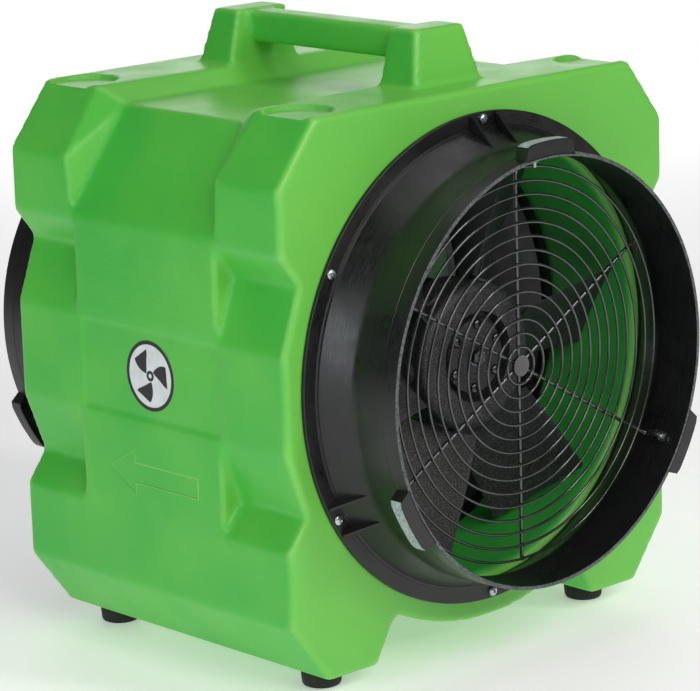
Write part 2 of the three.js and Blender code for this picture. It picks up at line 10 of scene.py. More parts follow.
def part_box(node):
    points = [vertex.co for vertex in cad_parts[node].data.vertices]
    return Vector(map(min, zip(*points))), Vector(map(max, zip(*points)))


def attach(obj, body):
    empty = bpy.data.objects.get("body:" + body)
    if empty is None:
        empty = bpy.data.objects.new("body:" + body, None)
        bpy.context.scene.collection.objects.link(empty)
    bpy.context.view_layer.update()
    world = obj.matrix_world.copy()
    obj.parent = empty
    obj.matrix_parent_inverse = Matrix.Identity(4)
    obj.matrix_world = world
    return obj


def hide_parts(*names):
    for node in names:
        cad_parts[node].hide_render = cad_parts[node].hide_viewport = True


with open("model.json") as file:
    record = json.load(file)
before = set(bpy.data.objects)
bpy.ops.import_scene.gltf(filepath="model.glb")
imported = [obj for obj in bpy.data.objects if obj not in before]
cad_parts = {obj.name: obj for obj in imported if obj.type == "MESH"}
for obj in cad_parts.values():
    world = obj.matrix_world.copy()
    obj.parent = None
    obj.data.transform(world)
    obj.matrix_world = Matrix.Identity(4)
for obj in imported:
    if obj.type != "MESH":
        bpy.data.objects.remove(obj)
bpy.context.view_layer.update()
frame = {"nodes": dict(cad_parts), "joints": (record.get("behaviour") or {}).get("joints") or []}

# ---- Camera -------------------------------------------------------------------------------------
# A long lens from the front left, a little above the machine, with a slight roll.
camera = bpy.data.objects.new("camera", bpy.data.cameras.new("camera"))
bpy.context.scene.collection.objects.link(camera)
camera.location = (-2.1322, -2.2879, 0.9999)
camera_aim = Vector((0.01785, 0.0125, 0.2583))
camera.rotation_mode = "QUATERNION"
camera.rotation_quaternion = (camera_aim - camera.location).to_track_quat("-Z", "Y")
camera.rotation_quaternion @= Quaternion((0, 0, 1), radians(-1.68))
camera.data.lens = 171.6
camera.data.sensor_width = 36
camera.data.clip_end = 50
bpy.context.scene.camera = camera

# ---- Housing ------------------------------------------------------------------------------------
# The green body is one hollow moulding of polyethylene, with the tunnel, the legs, the ridges and
# the carry handle in one piece. It is rotationally moulded, so every edge and corner is soft.
mm = 0.001
housing_low, housing_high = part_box("housing")
half_width, half_depth = housing_high.x / mm, housing_high.y / mm
spin = next(joint for joint in frame["joints"] if joint["name"] == "impeller_spin")
axis_height = spin["pos_m"][2] / mm
handle_top = housing_high.z / mm - axis_height
leg_bottom = housing_low.z / mm - axis_height
tunnel_radius = 204
ridge_top, valley_floor = 251.7, 236.4


def placed(name, data):
    """A new object in the scene that holds the data."""
    piece = bpy.data.objects.new(name, data)
    bpy.context.scene.collection.objects.link(piece)
    return piece


def closed_mesh(name, points, faces, raised=axis_height):
    """An object from points in millimetres, heights counted from the fan's axis."""
    mesh = bpy.data.meshes.new(name)
    mesh.from_pydata([Vector((x, y, z + raised)) * mm for x, y, z in points], [], faces)
    shape = bmesh.new()
    shape.from_mesh(mesh)
    bmesh.ops.remove_doubles(shape, verts=shape.verts, dist=1e-7)
    bmesh.ops.recalc_face_normals(shape, faces=shape.faces)
    shape.to_mesh(mesh)
    shape.free()
    return placed(name, mesh)


def skinned(name, loops, ring=False, raised=axis_height):
    """Loops of points joined by quads: a ring of loops, or a bar with both ends capped."""
    n, count = len(loops[0]), len(loops)
    faces = [] if ring else [tuple(range(n)), tuple(range((count - 1) * n, count * n))]
    for i in range(count if ring else count - 1):
        this, after = i * n, (i + 1) % count * n
        faces += [(this + k, this + (k + 1) % n, after + (k + 1) % n, after + k) for k in range(n)]
    return closed_mesh(name, [point for loop in loops for point in loop], faces, raised)


def prism(name, outline, y0, y1):
    """A polygon of x, z points drawn out along the fan's axis."""
    return skinned(name, [[(x, y, z) for x, z in outline] for y in (y0, y1)])


def hull(name, points, raised=axis_height):
    """The convex solid round some points."""
    piece = closed_mesh(name, points, [], raised)
    shape = bmesh.new()
    shape.from_mesh(piece.data)
    result = bmesh.ops.convex_hull(shape, input=shape.verts)
    bmesh.ops.delete(shape, geom=result["geom_interior"], context="VERTS")
    shape.to_mesh(piece.data)
    shape.free()
    return piece


def turned(name, profile, segments=192):
    """A closed profile of radius, y points revolved about the fan's axis."""
    turns = [2 * pi * k / segments for k in range(segments)]
    loops = [[(r * cos(a), y, r * sin(a)) for r, y in profile] for a in turns]
    return skinned(name, loops, ring=True)


def applied(piece):
    """Turns what the piece's modifiers make into its plain mesh."""
    seen = piece.evaluated_get(bpy.context.evaluated_depsgraph_get())
    mesh = bpy.data.meshes.new_from_object(seen)
    piece.modifiers.clear()
    piece.data = mesh
    return piece


def combine(piece, tool, operation):
    """Joins the tool to the piece, or cuts it out, and uses the tool up."""
    boolean = piece.modifiers.new("boolean", "BOOLEAN")
    boolean.object, boolean.operation, boolean.solver = tool, operation, "EXACT"
    applied(piece)
    bpy.data.objects.remove(tool)


def bevelled(piece, width, segments=2, angle=None):
    """Rounds a piece's edges by a width in millimetres, or only those sharper than an angle."""
    bevel = piece.modifiers.new("soft", "BEVEL")
    bevel.width, bevel.segments = width * mm, segments
    if angle:
        bevel.limit_method, bevel.angle_limit = "ANGLE", angle
    return applied(piece)


def smooth_shaded(piece, sharper_than=None):
    """Shades the piece smooth, but for edges sharper than an angle in degrees."""
    piece.data.polygons.foreach_set("use_smooth", [True] * len(piece.data.polygons))
    if sharper_than:
        piece.data.set_sharp_from_angle(angle=radians(sharper_than))


def housing_outline():
    """The section across the fan's axis, with the legs and the round belly between them."""
    half = [
        (192.7, valley_floor),
        (half_width, 139.65),
        (half_width, -203.5),
        (204.55, leg_bottom),
        (144.4, leg_bottom),
        (123.4, -225),
    ]
    belly_radius, spread = 248.5, 0.4848
    belly = [(belly_radius * sin(t), -belly_radius * cos(t))
             for t in np.linspace(spread, -spread, 25)]
    return half + belly + [(-x, z) for x, z in reversed(half)]


def ridge(end):
    """The raised band at one end, which frames the middle of the housing."""
    corners = [
        (half_width, half_depth, 139.65),
        (half_width, half_depth, 192.55),
        (202.5, half_depth, ridge_top),
        (half_width, 99.5, 139.65),
        (half_width, 103.5, 192.55),
        (202.5, 109.5, ridge_top),
        (45, 101.5, ridge_top),
        (192.7, 81.5, valley_floor),
        (45, 81.5, valley_floor),
    ]
    return hull("ridge", [(side * x, end * y, z) for side in (-1, 1) for x, y, z in corners])


def corner_pocket(side, end, up):
    """A wedge out of a corner, open to the side and to the end."""
    mouth = 262
    wedge = [(227, 105), (mouth, 105 + 28 / 21.7 * 35), (mouth, 105 - 60 / 21.7 * 35)]
    reach = sorted((end * 99.5, end * (half_depth + 10)))
    return prism("pocket", [(side * x, up * z) for x, z in wedge], *reach)


def handle_post(end):
    """The tapered post at one end of the handle, sunk into the ridge."""
    foot = ridge_top - 16
    corners = [(47.5, half_depth - 35.5, foot), (47.5, half_depth - 86, foot)]
    corners += [(31, half_depth - 48.4, handle_top), (31, half_depth - 84, handle_top)]
    return hull("post", [(side * x, end * y, z) for side in (-1, 1) for x, y, z in corners])


def handle_bar():
    """The grip between the posts, an octagon in section."""
    low, high, half = 271.5, 301.5, 17.5
    corner = 4
    section = [(half, low + corner), (half, high - corner), (half - corner, high)]
    section += [(corner - half, high), (-half, high - corner), (-half, low + corner)]
    section += [(corner - half, low), (half - corner, low)]
    return prism("bar", section, -half_depth + 70, half_depth - 70)


def bellmouth(end):
    """What rounds the tunnel's mouth off, as a tool to cut with."""
    lip, inside, past_end = 9, 190, half_depth + 5
    arc = [(tunnel_radius + lip * (1 - cos(t)), half_depth - lip * (1 - sin(t)))
           for t in np.linspace(0, pi / 2, 7)]
    profile = [(inside, half_depth - lip), *arc, (tunnel_radius + lip, past_end), (inside, past_end)]
    return turned("bellmouth", [(r, end * y) for r, y in profile], 128)


def oblong(x0, x1, half_height):
    """The outline of an opening in the right side."""
    return [(x0, -half_height), (x1, -half_height), (x1, half_height), (x0, half_height)]


housing = prism("moulded_housing", housing_outline(), -half_depth, half_depth)
for end in (-1, 1):
    combine(housing, ridge(end), "UNION")
    combine(housing, handle_post(end), "UNION")
combine(housing, handle_bar(), "UNION")
for end in (-1, 1):
    for side in (-1, 1):
        for up in (-1, 1):
            combine(housing, corner_pocket(side, end, up), "DIFFERENCE")
tunnel = [(tunnel_radius * cos(a), tunnel_radius * sin(a))
          for a in np.linspace(0, 2 * pi, 128, endpoint=False)]
combine(housing, prism("tunnel", tunnel, -half_depth - 5, half_depth + 5), "DIFFERENCE")
for end in (-1, 1):
    combine(housing, bellmouth(end), "DIFFERENCE")
panel_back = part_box("switch_panel")[0].x / mm
recess = oblong(panel_back - 0.3, half_width + 10, 43)
combine(housing, prism("recess", recess, -72, 72), "DIFFERENCE")
# Behind the panel, the wall has an opening for the switch's well and one for the gland.
for node, half_height, edge in (("switch_bezel", 17, 0), ("cable_gland", 10, 3)):
    low, high = (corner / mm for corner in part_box(node))
    outline = oblong(low.x - 3, half_width, half_height)
    combine(housing, prism("opening", outline, low.y + edge, high.y - edge), "DIFFERENCE")

voxels = housing.modifiers.new("voxels", "REMESH")
voxels.mode, voxels.voxel_size = "VOXEL", 2.8 * mm
softened = housing.modifiers.new("softened", "SMOOTH")
softened.factor, softened.iterations = 0.5, 9
applied(housing)


def smooth_step(values, start, end):
    """Each value's way from start to end, as 0 to 1 with a soft beginning and end."""
    t = np.clip((values - start) / (end - start), 0, 1)
    return t * t * (3 - 2 * t)


# The stacking recesses and the flat label panel are pressed into the soft form.
stack_x, stack_y, stack_radius, stack_depth = 186, half_depth - 39, 32, 4
label_middle, label_half_length, label_half_height, label_depth = -4, 98, 45, 1.6
points = np.empty(len(housing.data.vertices) * 3)
housing.data.vertices.foreach_get("co", points)
points = points.reshape(-1, 3) / mm - (0, 0, axis_height)
away = np.hypot(np.abs(points[:, 0]) - stack_x, np.abs(points[:, 1]) - stack_y)
on_ridge = points[:, 2] > 215
too_high = np.maximum(points[:, 2] - (ridge_top - stack_depth), 0) * on_ridge
points[:, 2] -= too_high * (1 - smooth_step(away, stack_radius - 2.5, stack_radius))
from_middle = np.abs(points[:, 1] - label_middle)
across = smooth_step(from_middle, label_half_length, label_half_length - 5)
upward = smooth_step(np.abs(points[:, 2]), label_half_height, label_half_height - 5)
on_side = smooth_step(points[:, 0], -half_width + 6, -half_width + 2)
points[:, 0] += label_depth * across * upward * on_side
housing.data.vertices.foreach_set("co", ((points + (0, 0, axis_height)) * mm).ravel())
thinned = housing.modifiers.new("thinned", "DECIMATE")
thinned.ratio = 0.3
applied(housing)
smooth_shaded(housing)


def linear(hex_colour):
    """A colour written as sRGB hex, as the linear numbers that shaders take."""
    parts = [int(hex_colour[i:i + 2], 16) / 255 for i in (1, 3, 5)]
    return [v / 12.92 if v <= 0.04045 else ((v + 0.055) / 1.055) ** 2.4 for v in parts] + [1.0]


def add(tree, kind, inputs=None, **settings):
    """Adds a node with its settings, and gives each named input a value or a link."""
    made = tree.nodes.new(kind)
    for name, value in settings.items():
        setattr(made, name, value)
    for key, value in (inputs or {}).items():
        if isinstance(value, bpy.types.NodeSocket):
            tree.links.new(value, made.inputs[key])
        else:
            made.inputs[key].default_value = value
    return made


def out(tree, kind, inputs=None, **settings):
    """The first output of a node made by add."""
    return add(tree, kind, inputs, **settings).outputs[0]


def start_material(name, **shader_inputs):
    """A material with a Principled shader, and its node tree, shader and Object coordinates."""
    material = bpy.data.materials.new(name)
    material.use_nodes = True
    tree = material.node_tree
    tree.nodes.clear()
    named = {socket.replace("_", " "): value for socket, value in shader_inputs.items()}
    shader = add(tree, "ShaderNodeBsdfPrincipled", named)
    add(tree, "ShaderNodeOutputMaterial", {"Surface": shader.outputs["BSDF"]})
    place = add(tree, "ShaderNodeTexCoord").outputs["Object"]
    return material, tree, shader, place


def noise(tree, place, size_mm, detail=2.0, roughness=0.5, stretch=(1, 1, 1)):
    """A noise whose features are about size_mm across, longer where a stretch is under 1."""
    scaled = add(tree, "ShaderNodeMapping", {"Vector": place, "Scale": stretch})
    texture = add(tree, "ShaderNodeTexNoise", {
        "Vector": scaled.outputs["Vector"],
        "Scale": 1 / (size_mm * mm),
        "Detail": detail,
        "Roughness": roughness,
    })
    return texture.outputs["Fac"]


def between(tree, value, low, high, to_low=0.0, to_high=1.0):
    """A value's range moved to another range."""
    return add(tree, "ShaderNodeMapRange", {
        "Value": value, "From Min": low, "From Max": high, "To Min": to_low, "To Max": to_high,
    }).outputs["Result"]


def blended(tree, amount, colour_a, colour_b):
    """Two colours mixed by an amount."""
    mix = add(tree, "ShaderNodeMix", data_type="RGBA")
    wanted = ((mix.inputs[0], amount), (mix.inputs[6], colour_a), (mix.inputs[7], colour_b))
    for socket, value in wanted:
        if isinstance(value, bpy.types.NodeSocket):
            tree.links.new(value, socket)
        else:
            socket.default_value = value
    return mix.outputs[2]


def bumped(tree, shader, height, depth_mm, strength=1.0):
    """Gives the shader a bump of a height map."""
    bump = add(tree, "ShaderNodeBump", {
        "Height": height, "Distance": depth_mm * mm, "Strength": strength,
    })
    tree.links.new(bump.outputs["Normal"], shader.inputs["Normal"])


def rotomoulded_polyethylene():
    """Green linear polyethylene, waxy and a little cloudy, with a painted highlight on its edges."""
    material, tree, shader, place = start_material(
        "rotomoulded_polyethylene", IOR=1.51, Subsurface_Weight=0.06, Subsurface_Scale=0.003,
        Subsurface_Radius=(0.5, 1.0, 0.4),
    )
    cloud = noise(tree, place, 120, detail=3)
    mottle = noise(tree, place, 14, detail=2)
    green = blended(tree, between(tree, cloud, 0.35, 0.65), linear("#44BE41"), linear("#5CC847"))
    green = blended(tree, between(tree, mottle, 0.3, 0.8, 0, 0.22), green, linear("#38BB4A"))
    geometry = add(tree, "ShaderNodeNewGeometry").outputs
    # Painted highlight: the green is paled towards #A9E07A where the mesh turns an edge sharply.
    edge_highlight = between(tree, geometry["Pointiness"], 0.51, 0.56, 0, 0.5)
    green = blended(tree, edge_highlight, green, linear("#A9E07A"))
    # Painted light: outside the tunnel, faces that do not face the sides are paler and yellower.
    facing = out(tree, "ShaderNodeVectorMath", {
        0: geometry["True Normal"],
    }, operation="ABSOLUTE")
    sideways = add(tree, "ShaderNodeSeparateXYZ", {"Vector": facing}).outputs["X"]
    from_axis = out(tree, "ShaderNodeVectorMath", {
        0: place, 1: (0, 0, -axis_height * mm),
    }, operation="ADD")
    from_axis = out(tree, "ShaderNodeVectorMath", {
        0: from_axis, 1: (1, 0, 1),
    }, operation="MULTIPLY")
    away = add(tree, "ShaderNodeVectorMath", {0: from_axis}, operation="LENGTH").outputs["Value"]
    # Painted light: the paler, yellower tint follows the way each face turns.
    painted_facing_light = out(tree, "ShaderNodeMath", {
        0: between(tree, sideways, 0.2, 0.9, 0.55, 0), 1: between(tree, away, 0.2045, 0.208),
    }, operation="MULTIPLY")
    green = blended(tree, painted_facing_light, green, linear("#80CF55"))
    # Painted shade: inside the tunnel the green is deepened towards #1F9E45.
    green = blended(tree, between(tree, away, 0.2045, 0.208, 0.6, 0), green, linear("#1F9E45"))
    tree.links.new(green, shader.inputs["Base Color"])
    # The mould's own surface leaves a fine orange peel about 3 mm across, and drags near edges.
    peel = noise(tree, place, 3.2, detail=2)
    ripple = noise(tree, place, 45, detail=1)
    rough = add(tree, "ShaderNodeMath", {
        0: between(tree, peel, 0.3, 0.7, 0.0, 0.05), 1: between(tree, ripple, 0.3, 0.7, 0.33, 0.42),
    }, operation="ADD")
    tree.links.new(rough.outputs[0], shader.inputs["Roughness"])
    both = add(tree, "ShaderNodeMath", {0: ripple, 1: 0.9, 2: peel}, operation="MULTIPLY_ADD")
    bumped(tree, shader, both.outputs[0], 0.5, 0.35)
    return material


def finish_piece(piece, body, material, slot, *nodes):
    """Gives a piece its material and its body, and hides the CAD nodes that it stands for; slot is not
    used.
    """
    piece.data.materials.clear()
    piece.data.materials.append(material)
    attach(piece, body)
    if nodes:
        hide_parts(*nodes)


polyethylene = rotomoulded_polyethylene()
finish_piece(housing, "machine", polyethylene, "polyethylene", "housing")

# ---- Airflow arrow and badge --------------------------------------------------------------------
# The arrow is an outline cast in the mould on the left side, and shows which way the air goes.
# The badge above it is a printed vinyl disc with a plain fan sign, laid in the flat label panel.


def swept(name, path, radius, closed=False, sides=8):
    """A round wire along points in millimetres, counted from the fan's axis, as a plain mesh."""
    curve = bpy.data.curves.new(name, "CURVE")
    curve.dimensions = "3D"
    spline = curve.splines.new("POLY")
    spline.points.add(len(path) - 1)
    for point, (x, y, z) in zip(spline.points, path):
        point.co = (x * mm, y * mm, (z + axis_height) * mm, 1)
    spline.use_cyclic_u = closed
    curve.bevel_depth = radius * mm
    curve.bevel_resolution = sides // 2 - 1
    curve.use_fill_caps = not closed
    piece = placed(name, curve)
    seen = piece.evaluated_get(bpy.context.evaluated_depsgraph_get())
    mesh = bpy.data.meshes.new_from_object(seen)
    bpy.data.objects.remove(piece)
    return placed(name, mesh)


arrow_tip, arrow_neck, arrow_tail = 61, 22, -66
arrow_middle = -95
arrow_outline = [(arrow_tip, 0), (arrow_neck, 21), (arrow_neck, 9.5), (arrow_tail, 9.5)]
arrow_outline += [(y, -z) for y, z in reversed(arrow_outline[1:])]
arrow_line = [(-half_width + 0.5, y, arrow_middle + z) for y, z in arrow_outline]
arrow = swept("airflow_arrow", arrow_line, 1.1, closed=True)
smooth_shaded(arrow)
finish_piece(arrow, "machine", polyethylene, "polyethylene")

badge_centre = (-3.5, 0.5)
badge_radius = 33
label_face = -half_width + label_depth


def badge_disc(name, inner, outer, lift, thickness, sides=96):
    """A flat ring, or a disc where inner is 0, lying on the label panel."""
    face = label_face - lift
    y0, z0 = badge_centre
    edge_highlight = [(outer, face), (outer, face + thickness)]
    edge_highlight += [(inner, face + thickness), (inner, face)] if inner else []
    turns = [2 * pi * k / sides for k in range(sides)]
    loops = [[(x, y0 + radius * cos(a), z0 + radius * sin(a)) for a in turns] for radius, x in edge_highlight]
    return skinned(name, loops, ring=bool(inner))


def fan_sign_blade(turn):
    """One leaf of the fan sign, a fat comma that sweeps round from the middle."""
    y0, z0 = badge_centre
    face = label_face - 0.55
    rim = []
    for t in np.linspace(0, 1, 14):
        rim.append((6 + 19 * t, 18 * t * t - 8))
    for t in np.linspace(1, 0, 14):
        rim.append((6 + 19 * t, 18 * t * t - 8 + 62 * sqrt(max(t * (1.25 - t), 0)) + 16))
    outline = []
    for radius, angle in rim:
        a = radians(angle) + turn
        outline.append((y0 + radius * cos(a), z0 + radius * sin(a)))
    return skinned("leaf", [[(x, y, z) for y, z in outline] for x in (face, face + 0.5)])


def joined(name, pieces):
    """Several objects as one, their meshes side by side."""
    shape = bmesh.new()
    for piece in pieces:
        shape.from_mesh(piece.data)
        bpy.data.objects.remove(piece)
    mesh = bpy.data.meshes.new(name)
    shape.to_mesh(mesh)
    shape.free()
    return placed(name, mesh)


def printed_vinyl(name, hex_colour):
    """Calendered vinyl film with a screen-printed ink, an even satin with a faint film grain."""
    material, tree, shader, place = start_material(name, IOR=1.5)
    grain = noise(tree, place, 0.8, detail=2)
    dusty = noise(tree, place, 12, detail=2)
    ink = linear(hex_colour)
    shade = [0.86 * v for v in ink[:3]] + [1.0]
    printed = blended(tree, between(tree, dusty, 0.3, 0.75), shade, ink)
    tree.links.new(printed, shader.inputs["Base Color"])
    tree.links.new(between(tree, grain, 0.3, 0.7, 0.28, 0.38), shader.inputs["Roughness"])
    bumped(tree, shader, grain, 0.05, 0.3)
    return material


badge_face = badge_disc("badge_face", 0, badge_radius, 0.35, 0.5)
finish_piece(badge_face, "machine", printed_vinyl("printed_vinyl_white", "#E9EFF2"), "polyethylene")
leaves = [fan_sign_blade(2 * pi * k / 3 + 0.4) for k in range(3)]
sign_parts = [badge_disc("rim", badge_radius - 3.5, badge_radius, 0.55, 0.5), *leaves]
sign_parts.append(badge_disc("hub", 2.2, 5, 0.55, 0.5, 32))
badge_sign = joined("badge_fan_sign", sign_parts)
finish_piece(badge_sign, "machine", printed_vinyl("printed_vinyl_black", "#141414"), "polyethylene")

# ---- Duct collars -------------------------------------------------------------------------------
# A duct collar at each end is moulded in black glass-filled nylon: a flange that is screwed to the
# housing, a cone, and a spigot with three bayonet lugs. Rib pairs brace the cone at every other
# screw of the flange.
collar_low, collar_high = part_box("front_collar")
flange_radius = collar_high.x / mm
flange_face = collar_high.y / mm
collar_length = flange_face - collar_low.y / mm
spigot_radius, root_radius, collar_wall = 200, 215, 3.5
flange_thickness, cone_length = 4, 36
lug_angles = [radians(a) for a in (90, 210, 330)]
flange_screw_circle = 223.5


def rounded(corners, steps=4):
    """A closed profile of radius, y, rounding points with each corner turned by an arc."""
    smooth = []
    n = len(corners)
    for i, (r, y, size) in enumerate(corners):
        here = Vector((r, y))
        before = Vector(corners[i - 1][:2]) - here
        after = Vector(corners[(i + 1) % n][:2]) - here
        if size == 0:
            smooth.append((r, y))
            continue
        start = here + before.normalized() * size
        end = here + after.normalized() * size
        for k in range(steps + 1):
            t = k / steps
            point = start.lerp(here, t).lerp(here.lerp(end, t), t)
            smooth.append((point.x, point.y))
    return smooth


def collar_profile():
    """Radius and distance in front of the flange's back, with moulded roundings."""
    spigot, wall = spigot_radius, collar_wall
    length, inner_root = collar_length, root_radius - collar_wall
    return rounded([
        (inner_root, 0, 0.5),
        (flange_radius, 0, 0.6),
        (flange_radius, flange_thickness, 1.2),
        (root_radius + 1.6, flange_thickness, 0.6),
        (root_radius + 1.2, flange_thickness + 1.6, 0.6),
        (root_radius - 0.8, flange_thickness + 1.8, 0.5),
        (spigot + 0.6, cone_length, 5),
        (spigot + 0.5, 71.0, 0),
        (spigot + 0.15, 71.3, 0),
        (spigot + 0.15, 71.9, 0),
        (spigot + 0.5, 72.2, 0),
        (spigot, length, 0.7),
        (spigot - wall, length, 0.7),
        (spigot - wall, cone_length, 5),
        (inner_root, flange_thickness, 1),
    ])


def collar_rib(angle, offset):
    """A thin triangular rib on the cone, beside a flange screw."""
    corners = [(flange_radius - 2, 3), (flange_radius - 2.6, 6.5)]
    corners += [(root_radius - 2.5, 3), (spigot_radius - 0.4, 34)]
    points = []
    for thickness in (-1.2, 1.2):
        for r, out in corners:
            across = offset + thickness * (1.15 - out / 90)
            x, z = r * cos(angle) - across * sin(angle), r * sin(angle) + across * cos(angle)
            points.append((x, flange_face - out, z))
    return hull("rib", points)


def lug(angle, steps=12):
    """A bayonet lug on the rim, its ends drafted and its edges rounded."""
    rim = collar_length
    height, width = 13, 14
    loops = []
    for out, tuck in ((rim - width, 0.7), (rim - width + 0.8, 0), (rim - 0.8, 0), (rim, 0.7)):
        loop = []
        for t in np.linspace(-1, 1, steps):
            a = angle + radians(9.2) * t
            r = spigot_radius - 1.5
            loop.append((r * cos(a), flange_face - out, r * sin(a)))
        for t in np.linspace(1, -1, steps):
            ease = 1.4 * max(0, abs(t) - 0.93) / 0.07
            a = angle + radians(7.9) * t
            r = spigot_radius + height - tuck - ease
            loop.append((r * cos(a), flange_face - out, r * sin(a)))
        loops.append(loop)
    return skinned("lug", loops)


def mirror_in_y(mesh):
    """Mirrors a mesh to the other end, and turns its faces the right way out again."""
    mesh.transform(Matrix.Scale(-1, 4, (0, 1, 0)))
    mesh.flip_normals()


def mirrored_in_y(piece, name):
    """A mirrored copy for the back end."""
    copy = placed(name, piece.data.copy())
    mirror_in_y(copy.data)
    return copy


def round_the_axis(tree, place, centre_z):
    """Coordinates that follow the spigot: turn about the axis, distance along it, and radius."""
    parts = add(tree, "ShaderNodeSeparateXYZ", {"Vector": place}).outputs
    height = out(tree, "ShaderNodeMath", {0: parts["Z"], 1: centre_z}, operation="SUBTRACT")
    turn = out(tree, "ShaderNodeMath", {0: height, 1: parts["X"]}, operation="ARCTAN2")
    away = add(tree, "ShaderNodeVectorMath", {
        0: out(tree, "ShaderNodeCombineXYZ", {"X": parts["X"], "Y": height}),
    }, operation="LENGTH").outputs["Value"]
    return out(tree, "ShaderNodeCombineXYZ", {"X": turn, "Y": parts["Y"], "Z": away}), away


def moulded_glass_filled_nylon():
    """Black nylon with glass fibre: satin, with fine drag lines round the axis and a dry grain."""
    material, tree, shader, place = start_material("moulded_glass_filled_nylon", IOR=1.53)
    curved, away = round_the_axis(tree, place, axis_height * mm)
    drag = noise(tree, curved, 1.2, detail=3, stretch=(0.02, 1, 1))
    fleck = noise(tree, place, 0.7, detail=3, roughness=0.7)
    worn = noise(tree, place, 30, detail=4)
    black = blended(tree, between(tree, drag, 0.35, 0.75), linear("#0D0E0E"), linear("#1B1D1D"))
    black = blended(tree, between(tree, fleck, 0.66, 0.74, 0, 0.5), black, linear("#55585A"))
    tree.links.new(black, shader.inputs["Base Color"])
    rough = add(tree, "ShaderNodeMath", {
        0: between(tree, drag, 0.3, 0.7, -0.05, 0.07), 1: between(tree, worn, 0.35, 0.65, 0.27, 0.4),
    }, operation="ADD")
    tree.links.new(rough.outputs[0], shader.inputs["Roughness"])
    both = add(tree, "ShaderNodeMath", {0: fleck, 1: 0.6, 2: drag}, operation="MULTIPLY_ADD")
    bumped(tree, shader, both.outputs[0], 0.08, 0.5)
    return material


def mottled(name, tone, span, colours, rough, bump, gloss=None, relief=None, rough_span=(0.3, 0.7),
            **shader_inputs):
    """A material of two colours mixed by the tone noise. The roughness follows the gloss noise and
    the bump the relief noise, or the tone where they are not given."""
    material, tree, shader, place = start_material(name, **shader_inputs)
    tone = noise(tree, place, *tone)
    gloss = noise(tree, place, *gloss) if gloss else tone
    relief = noise(tree, place, *relief) if relief else tone
    mixed = blended(tree, between(tree, tone, *span), *[linear(colour) for colour in colours])
    tree.links.new(mixed, shader.inputs["Base Color"])
    tree.links.new(between(tree, gloss, *rough_span, *rough), shader.inputs["Roughness"])
    bumped(tree, shader, relief, *bump)
    return material


def scuffed_and_highlit_nylon(name, dark, pale):
    """The same nylon made pale, dry and rough, for rims that ducts have rubbed and for painted
    highlights.
    """
    return mottled(name, (2.5, 5, 0.75), (0.35, 0.68), (dark, pale), (0.42, 0.62), (0.35, 0.8),
                   IOR=1.53)


collar_nylon = moulded_glass_filled_nylon()
rim_nylon = scuffed_and_highlit_nylon("scuffed_nylon_rim", "#15171A", "#747A7D")
# The lug material is a painted highlight, in pale grey nylon.
lug_painted_highlight = scuffed_and_highlit_nylon("painted_highlight_nylon_lug", "#6F7B7C", "#C9D6D6")
turned_profile = [(r, flange_face - out) for r, out in collar_profile()]
body_of_collar = turned("front_duct_collar", turned_profile, 256)
ribs = [collar_rib(a, offset) for a in lug_angles for offset in (-16, 16)]
lugs = [lug(a) for a in lug_angles]
front_collar = joined("front_duct_collar_moulding", [body_of_collar, *ribs, *lugs])
smooth_shaded(front_collar, 32)
rear_collar = mirrored_in_y(front_collar, "rear_duct_collar_moulding")
for piece, node in ((front_collar, "front_collar"), (rear_collar, "rear_collar")):
    finish_piece(piece, "machine", collar_nylon, "black_nylon", node)
    piece.data.materials.append(rim_nylon)
    piece.data.materials.append(lug_painted_highlight)
    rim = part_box(node)[0].y if node.startswith("front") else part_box(node)[1].y
    for polygon in piece.data.polygons:
        outward = Vector((polygon.center.x, 0, polygon.center.z - axis_height * mm))
        away = outward.length / mm
        if abs(polygon.center.y - rim) < 0.5 * mm and away < spigot_radius + 0.6:
            polygon.material_index = 1
        # Painted highlight: the outward faces of the front collar's lugs take the pale lug material.
        on_lug = piece == front_collar and spigot_radius + 9 < away < spigot_radius + 14
        faces_out = polygon.normal.dot(outward.normalized()) > 0.9
        if on_lug and faces_out and abs(polygon.center.y - rim) < 20 * mm:
            polygon.material_index = 2

# ---- Guards -------------------------------------------------------------------------------------
# Each guard is fourteen rings of steel wire, spot-welded in front of six thicker bars and a punched
# disc, then powder-coated black. Three bars turn forwards and are screwed to the collar's wall.
ring_count, first_ring, ring_pitch = 14, 17.3, 12.75
wire_radius, bar_radius = 1.25, 1.7
guard_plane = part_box("front_guard")[1].y / mm
eye_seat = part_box("front_guard_screw_1")[0].y / mm + 4.2
eye_radius = spigot_radius - collar_wall - 0.4
first_bar = radians(30)


def new_tree(name, **sockets):
    """A Geometry Nodes tree with named inputs, and what its input node gives."""
    tree = bpy.data.node_groups.new(name, "GeometryNodeTree")
    tree.interface.new_socket("Geometry", in_out="OUTPUT", socket_type="NodeSocketGeometry")
    tree.interface.new_socket("Geometry", in_out="INPUT", socket_type="NodeSocketGeometry")
    for socket, kind in sockets.items():
        tree.interface.new_socket(socket, in_out="INPUT", socket_type="NodeSocket" + kind)
    return tree, add(tree, "NodeGroupInput").outputs


def sum_of(tree, operation, *values):
    """What a Math node makes of some values."""
    return out(tree, "ShaderNodeMath", dict(enumerate(values)), operation=operation)


def end_tree(tree, pieces, given):
    """Joins what the tree made, stands it on the fan's axis and gives it the material."""
    whole = add(tree, "GeometryNodeJoinGeometry")
    for piece in pieces:
        tree.links.new(piece, whole.inputs[0])
    real = out(tree, "GeometryNodeRealizeInstances", {"Geometry": whole.outputs[0]})
    centre = out(tree, "ShaderNodeCombineXYZ", {"Y": given["seat"], "Z": axis_height * mm})
    stood = out(tree, "GeometryNodeTransform", {
        "Geometry": real, "Translation": centre, "Rotation": (radians(90), 0, 0),
    })
    coated = out(tree, "GeometryNodeSetMaterial", {
        "Geometry": stood, "Material": given["material"],
    })
    add(tree, "NodeGroupOutput", {0: coated})
    return tree


